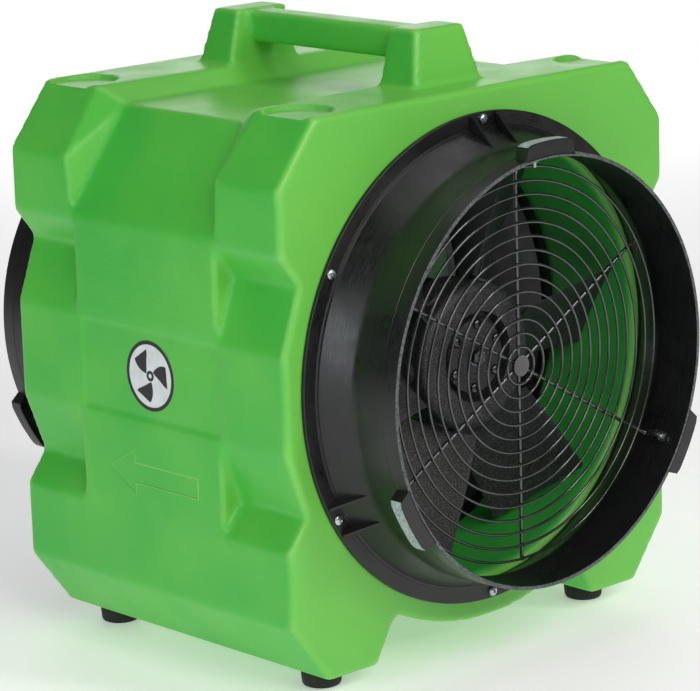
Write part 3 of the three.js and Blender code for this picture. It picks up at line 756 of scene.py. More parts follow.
def round_wire(tree, path, radius, sides):
    """A wire of a radius along curves, its ends capped."""
    section = out(tree, "GeometryNodeCurvePrimitiveCircle", {
        "Resolution": sides, "Radius": radius,
    })
    real = out(tree, "GeometryNodeRealizeInstances", {"Geometry": path})
    return out(tree, "GeometryNodeCurveToMesh", {
        "Curve": real, "Profile Curve": section, "Fill Caps": True,
    })


def on_points(tree, count, shape, **places):
    """Copies of a shape, one for each index below a count."""
    position = places.pop("Position", (0, 0, 0))
    points = add(tree, "GeometryNodePoints", {"Count": count, "Position": position})
    return out(tree, "GeometryNodeInstanceOnPoints", {
        "Points": points.outputs[0], "Instance": shape, **places,
    })


def welded_guard_tree():
    """Rings on radial bars, with a weld bead at each crossing and a disc in the middle."""
    tree, given = new_tree(
        "welded_guard", rings="Int", first_ring="Float", pitch="Float", wire="Float", bars="Int",
        bar="Float", first_angle="Float", disc="Float", seat="Float", material="Material",
    )
    index = out(tree, "GeometryNodeInputIndex")
    step = sum_of(tree, "DIVIDE", 2 * pi, given["bars"])
    in_front = sum_of(tree, "ADD", given["bar"], sum_of(tree, "MULTIPLY", given["wire"], 0.8))

    reach = sum_of(tree, "MULTIPLY_ADD", index, given["pitch"], given["first_ring"])
    unit_circle = out(tree, "GeometryNodeCurvePrimitiveCircle", {
        "Resolution": 120, "Radius": 1.0,
    })
    lift = out(tree, "ShaderNodeCombineXYZ", {"Z": in_front})
    rings = on_points(tree, given["rings"], unit_circle, Position=lift, Scale=reach)
    rings = round_wire(tree, rings, given["wire"], 10)

    outer = sum_of(tree, "MULTIPLY_ADD", sum_of(tree, "SUBTRACT", given["rings"], 1), given["pitch"],
                   given["first_ring"])
    past_outer = sum_of(tree, "ADD", outer, sum_of(tree, "MULTIPLY", given["wire"], 2))
    in_disc = sum_of(tree, "MULTIPLY", given["disc"], 0.7)
    line = out(tree, "GeometryNodeCurvePrimitiveLine", {
        "Start": out(tree, "ShaderNodeCombineXYZ", {"X": in_disc}),
        "End": out(tree, "ShaderNodeCombineXYZ", {"X": past_outer}),
    })
    angle = sum_of(tree, "MULTIPLY_ADD", index, step, given["first_angle"])
    turn = out(tree, "ShaderNodeCombineXYZ", {"Z": angle})
    bars = round_wire(tree, on_points(tree, given["bars"], line, Rotation=turn), given["bar"], 12)

    # The welds leave a bead at each crossing, which catches the light.
    crossings = sum_of(tree, "MULTIPLY", given["rings"], given["bars"])
    on_ring = sum_of(tree, "FLOOR", sum_of(tree, "DIVIDE", index, given["bars"]))
    on_bar = sum_of(tree, "MODULO", index, given["bars"])
    bead_reach = sum_of(tree, "MULTIPLY_ADD", on_ring, given["pitch"], given["first_ring"])
    bead_angle = sum_of(tree, "MULTIPLY_ADD", on_bar, step, given["first_angle"])
    bead_place = out(tree, "ShaderNodeCombineXYZ", {
        "X": sum_of(tree, "MULTIPLY", bead_reach, sum_of(tree, "COSINE", bead_angle)),
        "Y": sum_of(tree, "MULTIPLY", bead_reach, sum_of(tree, "SINE", bead_angle)),
        "Z": sum_of(tree, "MULTIPLY", in_front, 0.75),
    })
    bead = out(tree, "GeometryNodeMeshIcoSphere", {
        "Radius": sum_of(tree, "MULTIPLY", given["wire"], 1.45), "Subdivisions": 2,
    })
    beads = on_points(tree, crossings, bead, Position=bead_place)

    disc = out(tree, "GeometryNodeMeshCylinder", {
        "Vertices": 48, "Radius": given["disc"], "Depth": sum_of(tree, "MULTIPLY", given["wire"], 2.2),
    })
    disc = out(tree, "GeometryNodeTransform", {"Geometry": disc, "Translation": lift})
    return end_tree(tree, [rings, bars, beads, disc], given)


def grown(piece, tree, **values):
    """Runs a node tree on a piece with values for its named inputs, and keeps the plain mesh."""
    modifier = piece.modifiers.new(tree.name, "NODES")
    modifier.node_group = tree
    for socket in tree.interface.items_tree:
        if socket.in_out == "INPUT" and socket.name in values:
            modifier[socket.identifier] = values[socket.name]
    return applied(piece)


def round_the_axis_tree():
    """Copies of a piece set round the fan's axis, each turned about itself by a random spin."""
    tree, given = new_tree(
        "round_the_axis", copies="Int", first_angle="Float", reach="Float", tilt="Float", spin="Float",
        seat="Float", material="Material",
    )
    index = out(tree, "GeometryNodeInputIndex")
    step = sum_of(tree, "DIVIDE", 2 * pi, given["copies"])
    angle = sum_of(tree, "MULTIPLY_ADD", index, step, given["first_angle"])
    place = out(tree, "ShaderNodeCombineXYZ", {
        "X": sum_of(tree, "MULTIPLY", given["reach"], sum_of(tree, "COSINE", angle)),
        "Y": sum_of(tree, "MULTIPLY", given["reach"], sum_of(tree, "SINE", angle)),
    })
    turn = out(tree, "ShaderNodeCombineXYZ", {"Y": given["tilt"], "Z": angle})
    copies = on_points(tree, given["copies"], given["Geometry"], Position=place, Rotation=turn)
    seed = 4
    chance = add(tree, "FunctionNodeRandomValue", {
        2: 0.0, 3: given["spin"], 7: index, 8: seed,
    }, data_type="FLOAT")
    own_turn = out(tree, "ShaderNodeCombineXYZ", {"Z": chance.outputs[1]})
    spun = out(tree, "GeometryNodeRotateInstances", {
        "Instances": copies, "Rotation": own_turn, "Local Space": True,
    })
    return end_tree(tree, [spun], given)


def guard_eye():
    """The last stretch of a fixing bar, flattened, turned forwards along the wall and drilled."""
    outer_ring = first_ring + ring_pitch * (ring_count - 1)
    forward = guard_plane - bar_radius - eye_seat
    bend = 6
    path = [(outer_ring - 6, 0), (eye_radius - bend, 0)]
    path += [(eye_radius - bend + bend * sin(t), bend - bend * cos(t))
             for t in np.linspace(0.3, pi / 2, 5)]
    path += [(eye_radius, forward - 8), (eye_radius, forward), (eye_radius, forward + 4.5)]
    widths = [bar_radius * 0.9] * 4 + [2.2, 3.0, 4.2, 5.6, 5.8, 4.0]
    loops = []
    for (r, z), width in zip(path, widths):
        thick = bar_radius if width < 2 else 1.0
        along_r, along_z = (1, 0) if r < eye_radius - 0.5 else (0, 1)
        inset = thick if along_z else 0
        loops.append([(r - out * along_z - inset, across, z + out * along_r) for across, out in
                      ((-width, -thick), (width, -thick), (width, thick), (-width, thick))])
    return bevelled(skinned("eye", loops, raised=0), 0.5)


# Black powder coat over steel wire: smooth and glossy, so each wire has one thin bright line.
wire_coat = mottled("powder_coated_wire", (22, 3), (0.35, 0.75), ("#121316", "#33363B"), (0.14, 0.26),
                    (0.12, 0.3), gloss=(5, 2), relief=(5, 2), IOR=1.56, Coat_Weight=1.0,
                    Coat_Roughness=0.08)
round_the_axis_copies = round_the_axis_tree()
as_drawn = dict(reach=0.0, tilt=0.0, spin=0.0)
guard_wires = grown(
    closed_mesh("guard_wires", [], []), welded_guard_tree(),
    rings=ring_count, first_ring=first_ring * mm,
    pitch=ring_pitch * mm, wire=wire_radius * mm, bars=6, bar=bar_radius * mm, first_angle=first_bar,
    disc=9.8 * mm, seat=(guard_plane - bar_radius) * mm, material=wire_coat,
)
guard_eyes = grown(guard_eye(), round_the_axis_copies, copies=3, first_angle=lug_angles[0],
                   seat=(guard_plane - bar_radius) * mm, material=wire_coat, **as_drawn)
front_guard = joined("front_wire_guard", [guard_wires, guard_eyes])
smooth_shaded(front_guard, 40)
rear_guard = mirrored_in_y(front_guard, "rear_wire_guard")
finish_piece(front_guard, "machine", wire_coat, "coated_wire", "front_guard")
finish_piece(rear_guard, "machine", wire_coat, "coated_wire", "rear_guard")

# ---- Screws of the collars and guards -----------------------------------------------------------
# Pan-head screws with a cross recess, zinc-plated steel. Six hold each collar's flange, and three
# hold each guard, with a hexagon nut on the inside of the collar's wall.


def lathed(name, profile, segments=40):
    """A closed profile of radius, height points turned about its own upright axis."""
    turns = [2 * pi * k / segments for k in range(segments)]
    loops = [[(r * cos(a), r * sin(a), z) for r, z in profile] for a in turns]
    return skinned(name, loops, ring=True, raised=0)


def pan_head_screw(head, height, shank, length):
    """A pan head with a cross recess on a plain shank; the head stands up, and its seat is at 0."""
    dome = [(head * sin(t), height * (0.3 + 0.7 * cos(t))) for t in np.linspace(0, pi / 2, 8)]
    under = [(head * 0.985, 0), (shank, 0), (shank, 0.8 - length), (0, -length)]
    screw = lathed("screw", [*dome, *under])
    slot, reach, deep = 0.16 * head, 0.56 * head, 0.55 * height
    for along, across in ((reach, slot), (slot, reach)):
        signs = [(sx, sy) for sx in (-1, 1) for sy in (-1, 1)]
        lip = [(sx * along, sy * across, height + 1) for sx, sy in signs]
        pit = [(sx * along * 0.5, sy * across * 0.5, height - deep) for sx, sy in signs]
        combine(screw, hull("cross", lip + pit, raised=0), "DIFFERENCE")
    smooth_shaded(screw, 35)
    return screw


def hexagon_nut(across_corners, bore, height):
    """A nut with a chamfered top; its seat is at 0."""
    outside = [(across_corners, 0), (across_corners, height * 0.8), (across_corners * 0.9, height)]
    return lathed("nut", [(bore, 0), *outside, (bore, height)], 6)


def numbered(stem, count):
    """The names of nodes that are numbered from 1."""
    return [stem + str(i + 1) for i in range(count)]


def zinc_plated_steel(name, bright, dull):
    """Zinc on steel with a cloudy passivation, so that heads glint unevenly."""
    return mottled(name, (2.5, 3), (0.35, 0.7), (bright, dull), (0.18, 0.34), (0.03, 0.4),
                   relief=(0.6, 2), Metallic=1.0)


zinc = zinc_plated_steel("zinc_plated_steel", "#D9DCDE", "#A6ABB0")
dark_zinc = zinc_plated_steel("black_passivated_zinc", "#6A6E72", "#3C3F42")
any_spin = dict(spin=pi, tilt=0.0)
axial = dict(copies=6, first_angle=first_bar, material=zinc)
front_flange_screws = grown(
    pan_head_screw(4.9, 3.0, 2, 15), round_the_axis_copies, reach=flange_screw_circle * mm,
    seat=(flange_face - flange_thickness - 0.3) * mm, **axial, **any_spin)
front_flange_screws.name = "front_flange_screws"
rear_flange_screws = mirrored_in_y(front_flange_screws, "rear_flange_screws")
finish_piece(front_flange_screws, "machine", zinc, "zinc_screw", *numbered("front_flange_screw_", 6))
finish_piece(rear_flange_screws, "machine", zinc, "zinc_screw", *numbered("rear_flange_screw_", 6))

radial = dict(copies=3, first_angle=lug_angles[0], material=zinc, seat=eye_seat * mm)
outside = grown(pan_head_screw(4.2, 2.7, 2, 15), round_the_axis_copies, spin=pi, tilt=radians(90),
                reach=(spigot_radius + 0.3) * mm, **radial)
nuts = grown(hexagon_nut(4.0, 2.05, 3.2), round_the_axis_copies, spin=pi, tilt=radians(-90),
             reach=(eye_radius - 2.2) * mm, **radial)
front_guard_screws = joined("front_guard_screws", [outside, nuts])
rear_guard_screws = mirrored_in_y(front_guard_screws, "rear_guard_screws")
finish_piece(front_guard_screws, "machine", zinc, "zinc_screw", *numbered("front_guard_screw_", 3))
finish_piece(rear_guard_screws, "machine", zinc, "zinc_screw", *numbered("rear_guard_screw_", 3))

# ---- Feet ---------------------------------------------------------------------------------------
# Four black rubber feet, slightly tapered and rounded below. A zinc screw in the well of each one
# pulls it up against the leg.
foot_low, foot_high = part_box("foot_1")
foot_top, foot_radius = foot_high.z / mm, (foot_high.x - foot_low.x) / 2 / mm
foot_place = [abs(foot_low[k] + foot_high[k]) / 2 for k in (0, 1)]


def rubber_foot():
    """A foot with a well for its screw, its rim rounded where it stands."""
    profile = [(3, 5), (3, foot_top), (foot_radius - 0.6, foot_top), (foot_radius, foot_top - 0.8)]
    profile += [(foot_radius - taper, z) for taper, z in ((0.9, 7), (1.4, 2.6), (2.4, 0.8), (4, 0))]
    profile += [(8.6, 0), (8, 0.6), (8, 5)]
    foot = lathed("foot", profile, 64)
    smooth_shaded(foot, 50)
    return foot


def four_corners_tree():
    """Copies of a piece at four corners about the middle plane, heights kept as drawn."""
    tree, given = new_tree("four_corners", half_x="Float", half_y="Float", height="Float", tilt="Float",
                           material="Material")
    grid = out(tree, "GeometryNodeMeshGrid", {
        "Size X": sum_of(tree, "MULTIPLY", given["half_x"], 2), "Vertices X": 2,
        "Size Y": sum_of(tree, "MULTIPLY", given["half_y"], 2), "Vertices Y": 2,
    })
    raised = out(tree, "ShaderNodeCombineXYZ", {"Z": given["height"]})
    grid = out(tree, "GeometryNodeTransform", {"Geometry": grid, "Translation": raised})
    tilt = out(tree, "ShaderNodeCombineXYZ", {"X": given["tilt"]})
    copies = out(tree, "GeometryNodeInstanceOnPoints", {
        "Points": grid, "Instance": given["Geometry"], "Rotation": tilt,
    })
    real = out(tree, "GeometryNodeRealizeInstances", {"Geometry": copies})
    coated = out(tree, "GeometryNodeSetMaterial", {
        "Geometry": real, "Material": given["material"],
    })
    add(tree, "NodeGroupOutput", {0: coated})
    return tree


# Black natural rubber from a mould: matt, dusty, a little paler where it is rubbed.
rubber = mottled("moulded_rubber", (9, 4, 0.65), (0.35, 0.75), ("#101010", "#2A2A29"), (0.62, 0.8),
                 (0.08, 0.6), relief=(0.9, 3), IOR=1.52)
four_corners = four_corners_tree()
corner_places = dict(half_x=foot_place[0], half_y=foot_place[1])
feet = grown(rubber_foot(), four_corners, height=0.0, tilt=0.0, material=rubber, **corner_places)
feet.name = "rubber_feet"
finish_piece(feet, "machine", rubber, "foot_rubber", *numbered("foot_", 4))
foot_screws = grown(pan_head_screw(6.4, 3.2, 2.4, 22), four_corners, height=4.9 * mm, tilt=pi,
                    material=zinc, **corner_places)
foot_screws.name = "foot_screws"
finish_piece(foot_screws, "machine", zinc, "zinc_screw")

# ---- Impeller -----------------------------------------------------------------------------------
# Six broad paddle blades of glass-filled nylon, their round roots clamped between two hub halves
# by six screws. A bolt in the middle holds the hub on the motor's shaft.
hub_low, hub_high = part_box("hub_front")
hub_radius, hub_front = hub_high.x / mm, hub_low.y / mm
hub_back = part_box("hub_rear")[1].y / mm
hub_split = spin["pos_m"][1] / mm
blade_count, first_blade = 6, radians(4)
blade_tip = 193
hub_screw_length = 42
hub_boss_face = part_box("hub_screw_1")[1].y / mm - hub_screw_length + 0.3


def hub_half(front):
    """The front half with its raised boss and groove, or the plainer rear half."""
    edge, split = (hub_front, hub_split - 0.15) if front else (hub_back, hub_split + 0.15)
    inward = 1 if front else -1
    rim = [(hub_radius, edge + inward * 5, 3), (hub_radius, split, 0.5)]
    if front:
        face, groove = hub_boss_face, hub_front + 14
        inside = [(6.5, split, 0), (6.5, face, 0.4), (17, face, 0.3), (17.6, face + 0.9, 0.3),
                  (22, face + 0.9, 0.3), (22.6, face, 0.3), (35, face, 1.2), (36, groove, 1),
                  (42, groove, 1), (42, edge, 1.8), (63, edge, 4)]
    else:
        inside = [(10, split, 0), (10, edge, 0.6), (30, edge, 1), (31, edge - 6, 1), (58, edge - 6, 1),
                  (59, edge, 1), (65, edge, 3)]
    half = turned("hub_half", rounded([*inside, *rim]), 96)
    smooth_shaded(half, 35)
    return half


def root_boss():
    """The swelling where the two halves close on a blade's root, drawn at its place along X."""
    profile = [(12.5, 50), (12.5, 68), (12, 71), (10.5, 72.4), (0, 72.4), (0, 50)]
    boss = lathed("boss", profile, 40)
    boss.data.transform(Matrix.Rotation(radians(90), 4, "Y"))
    smooth_shaded(boss, 30)
    return boss


def blade_section(r):
    """Chord across, depth along the axis, and thickness of the blade at a radius."""
    stations = [74, 105, 150, blade_tip]
    chord = np.interp(r, stations, [60, 68, 77, 86])
    depth = np.interp(r, stations, [52, 55, 55, 53])
    thick = np.interp(r, stations, [7, 5.5, 4.5, 3.5])
    return chord, depth, thick


def paddle_blade():
    """A cambered, twisted paddle along X with the front up, its edges and its tip corners rounded."""
    loops = []
    radii = [72.4, *np.linspace(75, blade_tip - 3, 22), blade_tip - 1.2, blade_tip]
    for r in radii:
        chord, depth, thick = blade_section(min(max(r, 74), blade_tip))
        shrink = 1 - 0.05 * max(0, (r - blade_tip + 4) / 4) ** 2
        loop = []
        there, back = np.linspace(-pi / 2, pi / 2, 15), np.linspace(pi / 2, -pi / 2, 15)[1:-1]
        for side, sweep in ((1, there), (-1, back)):
            for a in sweep:
                t = 0.5 * sin(a) * shrink
                half = 0.5 * thick * (0.62 + 0.38 * (1 - 4 * t * t)) * cos(a) ** 0.45
                camber = 7 * (1 - 4 * t * t)
                along = t * chord
                span = sqrt(max(r * r - along * along * 0.55, 1))
                loop.append((span, along, t * depth - camber + side * half))
        loops.append(loop)
    blade = skinned("blade", loops, raised=0)
    smooth_shaded(blade, 40)
    return blade


def grainy_glass_filled_nylon():
    """Nylon with a third of glass fibre: dry charcoal with pale fibre ends that glitter in light."""
    material, tree, shader, place = start_material("grainy_glass_filled_nylon", IOR=1.54)
    # The fibre ends are near 0.1 mm; they are drawn at 1.1 mm so that they still show.
    fibre = noise(tree, place, 1.1, detail=4, roughness=0.75)
    flow = noise(tree, place, 24, detail=3)
    nylon = blended(tree, between(tree, flow, 0.3, 0.7), linear("#0D0D0E"), linear("#19191B"))
    nylon = blended(tree, between(tree, fibre, 0.5, 0.68, 0, 0.85), nylon, linear("#74767B"))
    tree.links.new(nylon, shader.inputs["Base Color"])
    tree.links.new(between(tree, fibre, 0.3, 0.7, 0.62, 0.36), shader.inputs["Roughness"])
    bumped(tree, shader, fibre, 0.35, 0.8)
    return material


blade_nylon = grainy_glass_filled_nylon()
blade_turn = dict(copies=blade_count, first_angle=first_blade, seat=hub_split * mm,
                  material=blade_nylon, **as_drawn)
blades = grown(paddle_blade(), round_the_axis_copies, **blade_turn)
blades.name = "impeller_blades"
finish_piece(blades, "impeller", blade_nylon, "blade_nylon", *numbered("blade_", blade_count))
bosses = grown(root_boss(), round_the_axis_copies, **blade_turn)
impeller_hub = joined("impeller_hub", [hub_half(True), hub_half(False), bosses])
finish_piece(impeller_hub, "impeller", blade_nylon, "blade_nylon", "hub_front", "hub_rear")

hub_fixing = dict(first_angle=radians(25), material=dark_zinc, seat=(hub_boss_face - 0.3) * mm)
hub_screws = grown(pan_head_screw(5, 3.3, 3, hub_screw_length), round_the_axis_copies, copies=6,
                   reach=30 * mm, **any_spin, **hub_fixing)
hub_screws.name = "hub_screws"
finish_piece(hub_screws, "impeller", dark_zinc, "zinc_screw", *numbered("hub_screw_", 6))


def hexagon_bolt(across_corners, height, shank, length):
    """A forged hexagon head with its washer face, on a plain shank; its seat is at 0."""
    head = lathed("bolt", [(0, 1.3), (across_corners, 1.3), (across_corners, height - 1.1),
                           (across_corners * 0.88, height), (0, height)], 6)
    flare = across_corners * 1.18
    washer = lathed("washer", [(0, 0), (flare, 0), (flare, 1.1), (across_corners * 1.12, 1.3),
                               (0, 1.3)], 40)
    body = lathed("shank", [(0, -length), (shank, 0.8 - length), (shank, 0), (0, 0)], 20)
    smooth_shaded(washer, 35)
    smooth_shaded(body, 35)
    return joined("bolt", [head, washer, body])


shaft_bolt = grown(hexagon_bolt(8, 6, 4, 34), round_the_axis_copies, copies=1, reach=0.0,
                   **any_spin, **hub_fixing)
shaft_bolt.name = "shaft_bolt_head"
finish_piece(shaft_bolt, "impeller", dark_zinc, "zinc_screw", "shaft_bolt")


# Steel bar turned and ground: bright, with fine rings round its own axis.
steel = mottled("ground_steel", (0.9, 2, 0.5, (0.05, 1, 0.05)), (0.35, 0.7), ("#B9BCBE", "#8C9093"),
                (0.22, 0.36), (0.03, 0.4), Metallic=1.0)
shaft_low, shaft_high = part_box("rotor_shaft")
shaft_front, shaft_back, shaft_radius = shaft_low.y / mm, shaft_high.y / mm, 9.5
rotor_front, rotor_back, rotor_radius = -63, -3, 28
shaft = turned("rotor_and_shaft", rounded([
    (0, shaft_front, 0), (shaft_radius, shaft_front, 1), (shaft_radius, rotor_front, 0),
    (rotor_radius, rotor_front, 1), (rotor_radius, rotor_back, 1), (shaft_radius, rotor_back, 0),
    (shaft_radius, shaft_back, 1), (0, shaft_back, 0),
]), 64)
smooth_shaded(shaft, 40)
finish_piece(shaft, "impeller", steel, "bright_steel", "rotor_shaft")

# ---- Motor --------------------------------------------------------------------------------------
# A closed induction motor: an aluminium frame with cooling fins between two cast end shields, each
# held by four screws, all sprayed satin black. Its bearings are ball races, hidden in the shields.
motor_low, motor_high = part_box("motor_body")
front_shield_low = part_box("motor_front_shield")[0].y / mm
rear_shield_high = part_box("motor_rear_shield")[1].y / mm
motor_radius = 62
fin_root = 57.5


def motor_frame():
    """The plain tube of the frame, without its fins."""
    low, high = motor_low.y / mm, motor_high.y / mm
    return turned("frame", rounded([
        (29, low, 1), (fin_root, low, 1), (fin_root, high, 1), (29, high, 1),
    ]), 96)


def cooling_fin():
    """One fin, drawn at its place along X, a little thinner at its edge."""
    low, high = hub_split - motor_high.y / mm, hub_split - motor_low.y / mm
    points = []
    for z in (low + 1.5, high - 1.5):
        points += [(r, side * half, z) for r, half in ((fin_root - 1, 1.5), (motor_radius - 0.2, 0.9))
                   for side in (-1, 1)]
    return hull("fin", points, raised=0)


def end_shield(front):
    """A cast end shield. The front one is open for the shaft, and the rear one is closed."""
    edge, inward = (front_shield_low, 1) if front else (rear_shield_high, -1)
    outer = motor_radius + 1.5
    middle = [(20.4, edge + inward * 14, 0), (20.4, edge + inward * (0 if front else 4), 0.5)]
    if not front:
        middle.append((0, edge - 4, 0))
        middle.append((0, edge, 0))
    steps = [(27, edge, 1), (28, edge + inward * 2.5, 1), (44, edge + inward * 2.5, 1), (45.5, edge, 1)]
    rim = [(motor_radius - 10, edge, 4), (outer, edge + inward * 8, 3)]
    rim.append((outer, edge + inward * 14, 0.5))
    shield = turned("shield", rounded([*middle, *steps, *rim]), 96)
    smooth_shaded(shield, 35)
    return shield


# Sprayed enamel on cast and pressed metal: an even satin with a fine orange peel and dust.
enamel = mottled("satin_black_enamel", (34, 4), (0.35, 0.72), ("#08090A", "#151618"), (0.34, 0.5),
                 (0.08, 0.5), relief=(2.2, 2), IOR=1.5, Metallic=0.0)
fins = grown(cooling_fin(), round_the_axis_copies, copies=40, first_angle=radians(4.5),
             seat=hub_split * mm, material=enamel, **as_drawn)
frame_shell = motor_frame()
smooth_shaded(frame_shell, 35)
motor_body = joined("finned_motor_frame", [frame_shell, fins])
finish_piece(motor_body, "machine", enamel, "motor_paint", "motor_body")
for front, node in ((True, "motor_front_shield"), (False, "motor_rear_shield")):
    shield = end_shield(front)
    shield.name = node.replace("motor", "cast_motor")
    finish_piece(shield, "machine", enamel, "motor_paint", node)
    seat = front_shield_low if front else -rear_shield_high
    shield_screws = grown(pan_head_screw(3.6, 2.2, 2, 8), round_the_axis_copies,
                          copies=4, reach=49 * mm,
                          first_angle=radians(45), seat=seat * mm, material=zinc, **any_spin)
    shield_screws.name = node + "_screws"
    if not front:
        mirror_in_y(shield_screws.data)
    finish_piece(shield_screws, "machine", zinc, "zinc_screw")
for node in ("motor_front_bearing", "motor_rear_bearing"):
    frame["nodes"][node].data.materials.clear()
    frame["nodes"][node].data.materials.append(steel)

# ---- Motor ring and bracket ---------------------------------------------------------------------
# A rolled steel ring lines the tunnel behind the impeller. A clamp band holds the motor on three
# pressed arms, whose feet are bolted through the ring into the housing's wall.
ring_low, ring_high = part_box("motor_ring")
ring_outer, ring_inner = ring_high.x / mm, ring_high.x / mm - 2
arm_count, first_arm = 3, radians(90)
foot_seat = ring_inner - 2


def rolled_ring():
    """The ring, with a bead rolled inwards near each edge."""
    low, high = ring_low.y / mm, ring_high.y / mm
    bead = 1.6
    ring = turned("ring", rounded([
        (ring_inner, low, 0.5), (ring_outer, low, 0.5),
        (ring_outer, high, 0.5), (ring_inner, high, 0.5),
        (ring_inner, high - 9, 0), (ring_inner - bead, high - 12, 1.5), (ring_inner, high - 15, 0),
        (ring_inner, low + 15, 0), (ring_inner - bead, low + 12, 1.5), (ring_inner, low + 9, 0),
    ]), 192)
    smooth_shaded(ring, 40)
    return ring


def clamp_band():
    """The band round the motor, its edges thickened."""
    band = turned("band", rounded([
        (motor_radius + 0.3, -22, 0.4), (motor_radius + 4, -22, 1.2), (motor_radius + 4, -17, 0.6),
        (motor_radius + 3, -16, 0.6), (motor_radius + 3, 16, 0.6), (motor_radius + 4, 17, 0.6),
        (motor_radius + 4, 22, 1.2), (motor_radius + 0.3, 22, 0.4),
    ]), 128)
    smooth_shaded(band, 35)
    return band


def corners_of(low, high):
    """The eight corners of a box."""
    return [(x, y, z) for x in (low[0], high[0]) for y in (low[1], high[1]) for z in (low[2], high[2])]


def bracket_arm():
    """A pressed arm with flanged edges and its foot, drawn at its place along X, the front up."""
    centre = hub_split
    end = foot_seat - 1.5
    parts = []
    for low, high in (((motor_radius + 1.5, -1.6, -18), (end, 1.6, 18)),
                      ((motor_radius + 3, -5.5, 15.6), (end, 5.5, 18)),
                      ((motor_radius + 3, -5.5, -18), (end, 5.5, -15.6)),
                      ((foot_seat - 4, -17, -20), (foot_seat, 17, 20))):
        corners = [(x, y, z + centre) for x, y, z in corners_of(low, high)]
        parts.append(bevelled(hull("arm", corners, raised=0), 0.9))
    arm = joined("arm", parts)
    smooth_shaded(arm, 40)
    return arm


ring = rolled_ring()
ring.name = "rolled_motor_ring"
finish_piece(ring, "machine", enamel, "motor_paint", "motor_ring")
arms = grown(bracket_arm(), round_the_axis_copies, copies=arm_count, first_angle=first_arm,
             seat=hub_split * mm, material=enamel, **as_drawn)
bracket = joined("pressed_motor_bracket", [clamp_band(), arms])
finish_piece(bracket, "machine", enamel, "motor_paint", "motor_bracket")
bracket_bolts = grown(hexagon_bolt(5.2, 4.5, 3, 11), round_the_axis_copies, copies=arm_count,
                      first_angle=first_arm, reach=(foot_seat - 4.3) * mm, tilt=radians(-90), spin=pi,
                      seat=0.0, material=zinc)
bracket_bolts.name = "bracket_bolts"
finish_piece(bracket_bolts, "machine", zinc, "zinc_screw", *numbered("bracket_bolt_", arm_count))

# ---- Terminal box and lead ----------------------------------------------------------------------
# A moulded box on the motor covers the terminals. The rubber lead leaves it, follows the upper arm
# and goes through the tunnel's wall to the switch.


def soft_box(name, low, high, edge, segments=3):
    """A moulded block with rounded edges, its corners in millimetres from the fan's axis."""
    block = bevelled(hull(name, corners_of(low, high)), edge, segments)
    smooth_shaded(block, 40)
    return block


def box_of(node):
    """A CAD node's box in millimetres from the fan's axis."""
    return [tuple(v / mm for v in (c.x, c.y, c.z - axis_height * mm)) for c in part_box(node)]


# Black ABS from a polished mould: glossy, with faint finger smears that dull it in places.
switch_plastic = mottled("moulded_switch_plastic", (16, 3), (0.35, 0.7), ("#0B0B0C", "#17181A"),
                         (0.16, 0.36), (0.04, 0.35), relief=(1.6, 2), rough_span=(0.35, 0.7), IOR=1.53)
box_low, box_high = box_of("terminal_box")
terminal_box = soft_box("moulded_terminal_box", box_low, box_high, 2.5)
finish_piece(terminal_box, "machine", switch_plastic, "switch_plastic", "terminal_box")
lid_low, lid_high = box_of("terminal_box_lid")
terminal_lid = soft_box("moulded_terminal_lid", lid_low, lid_high, 2)
finish_piece(terminal_lid, "machine", switch_plastic, "switch_plastic", "terminal_box_lid")


# The points of the lead's route, from the terminal box to the tunnel's wall.
lead_knots = [(14, -44, 78), (14, -27, 78), (14, -10, 89), (14, 0, 123), (14, 20, 150), (14, 38, 180),
              (14, 40, 196), (14, 40, 214)]


def smooth_route(knots, steps):
    """A curve through all the knots, with some steps between each two."""
    knots = [Vector(k) for k in knots]
    knots = [2 * knots[0] - knots[1], *knots, 2 * knots[-1] - knots[-2]]
    route = []
    for a, b, c, d in zip(knots, knots[1:], knots[2:], knots[3:]):
        for k in range(steps):
            t = k / steps
            route.append(0.5 * (2 * b + (c - a) * t + (2 * a - 5 * b + 4 * c - d) * t ** 2
                                + (3 * b - a - 3 * c + d) * t ** 3))
    return [*route, knots[-2]]


lead = swept("motor_lead_sheath", smooth_route(lead_knots, 8), 3.9, sides=16)
smooth_shaded(lead, 50)
# The lead's sheath is matt black rubber with a faint cross ripple from the extruder.
sheath = mottled("extruded_rubber_sheath", (1.8, 2), (0.3, 0.7), ("#0E0E0E", "#1C1C1C"), (0.5, 0.64),
                 (0.06, 0.4), IOR=1.52)
finish_piece(lead, "machine", sheath, "cable_rubber", "motor_lead")

# ---- Switch panel -------------------------------------------------------------------------------
# A nylon plate on the right side is screwed in the floor of its recess. It carries a rocker switch
# in a bezel and the gland where the mains cord would leave.
panel_low, panel_high = box_of("switch_panel")
rocker = next(joint for joint in frame["joints"] if joint["name"] == "switch_rock")
rocker_x, rocker_y = rocker["pos_m"][0] / mm, rocker["pos_m"][1] / mm
panel_face = panel_high[0]
gland_y = 30


def rounded_plate(name, y, z, corner, low_x, high_x, centre=(0, 0)):
    """A plate facing the side, with round corners and softened edges."""
    outline = []
    for sy, sz, start in ((1, 1, 0), (-1, 1, 90), (-1, -1, 180), (1, -1, 270)):
        for t in np.linspace(0, 90, 7):
            a = radians(start + t)
            outline.append((centre[0] + sy * (y - corner) + corner * cos(a),
                            centre[1] + sz * (z - corner) + corner * sin(a)))
    plate = skinned(name, [[(x, py, pz) for py, pz in outline] for x in (low_x, high_x)])
    return bevelled(plate, 0.6, angle=radians(30))


def drilled(plate, *tools):
    """The plate with each tool cut out of it."""
    for tool in tools:
        combine(plate, tool, "DIFFERENCE")
    smooth_shaded(plate, 35)
    return plate


def block(low, high):
    """A plain block for cutting, its corners in millimetres from the fan's axis."""
    return hull("block", corners_of(low, high))


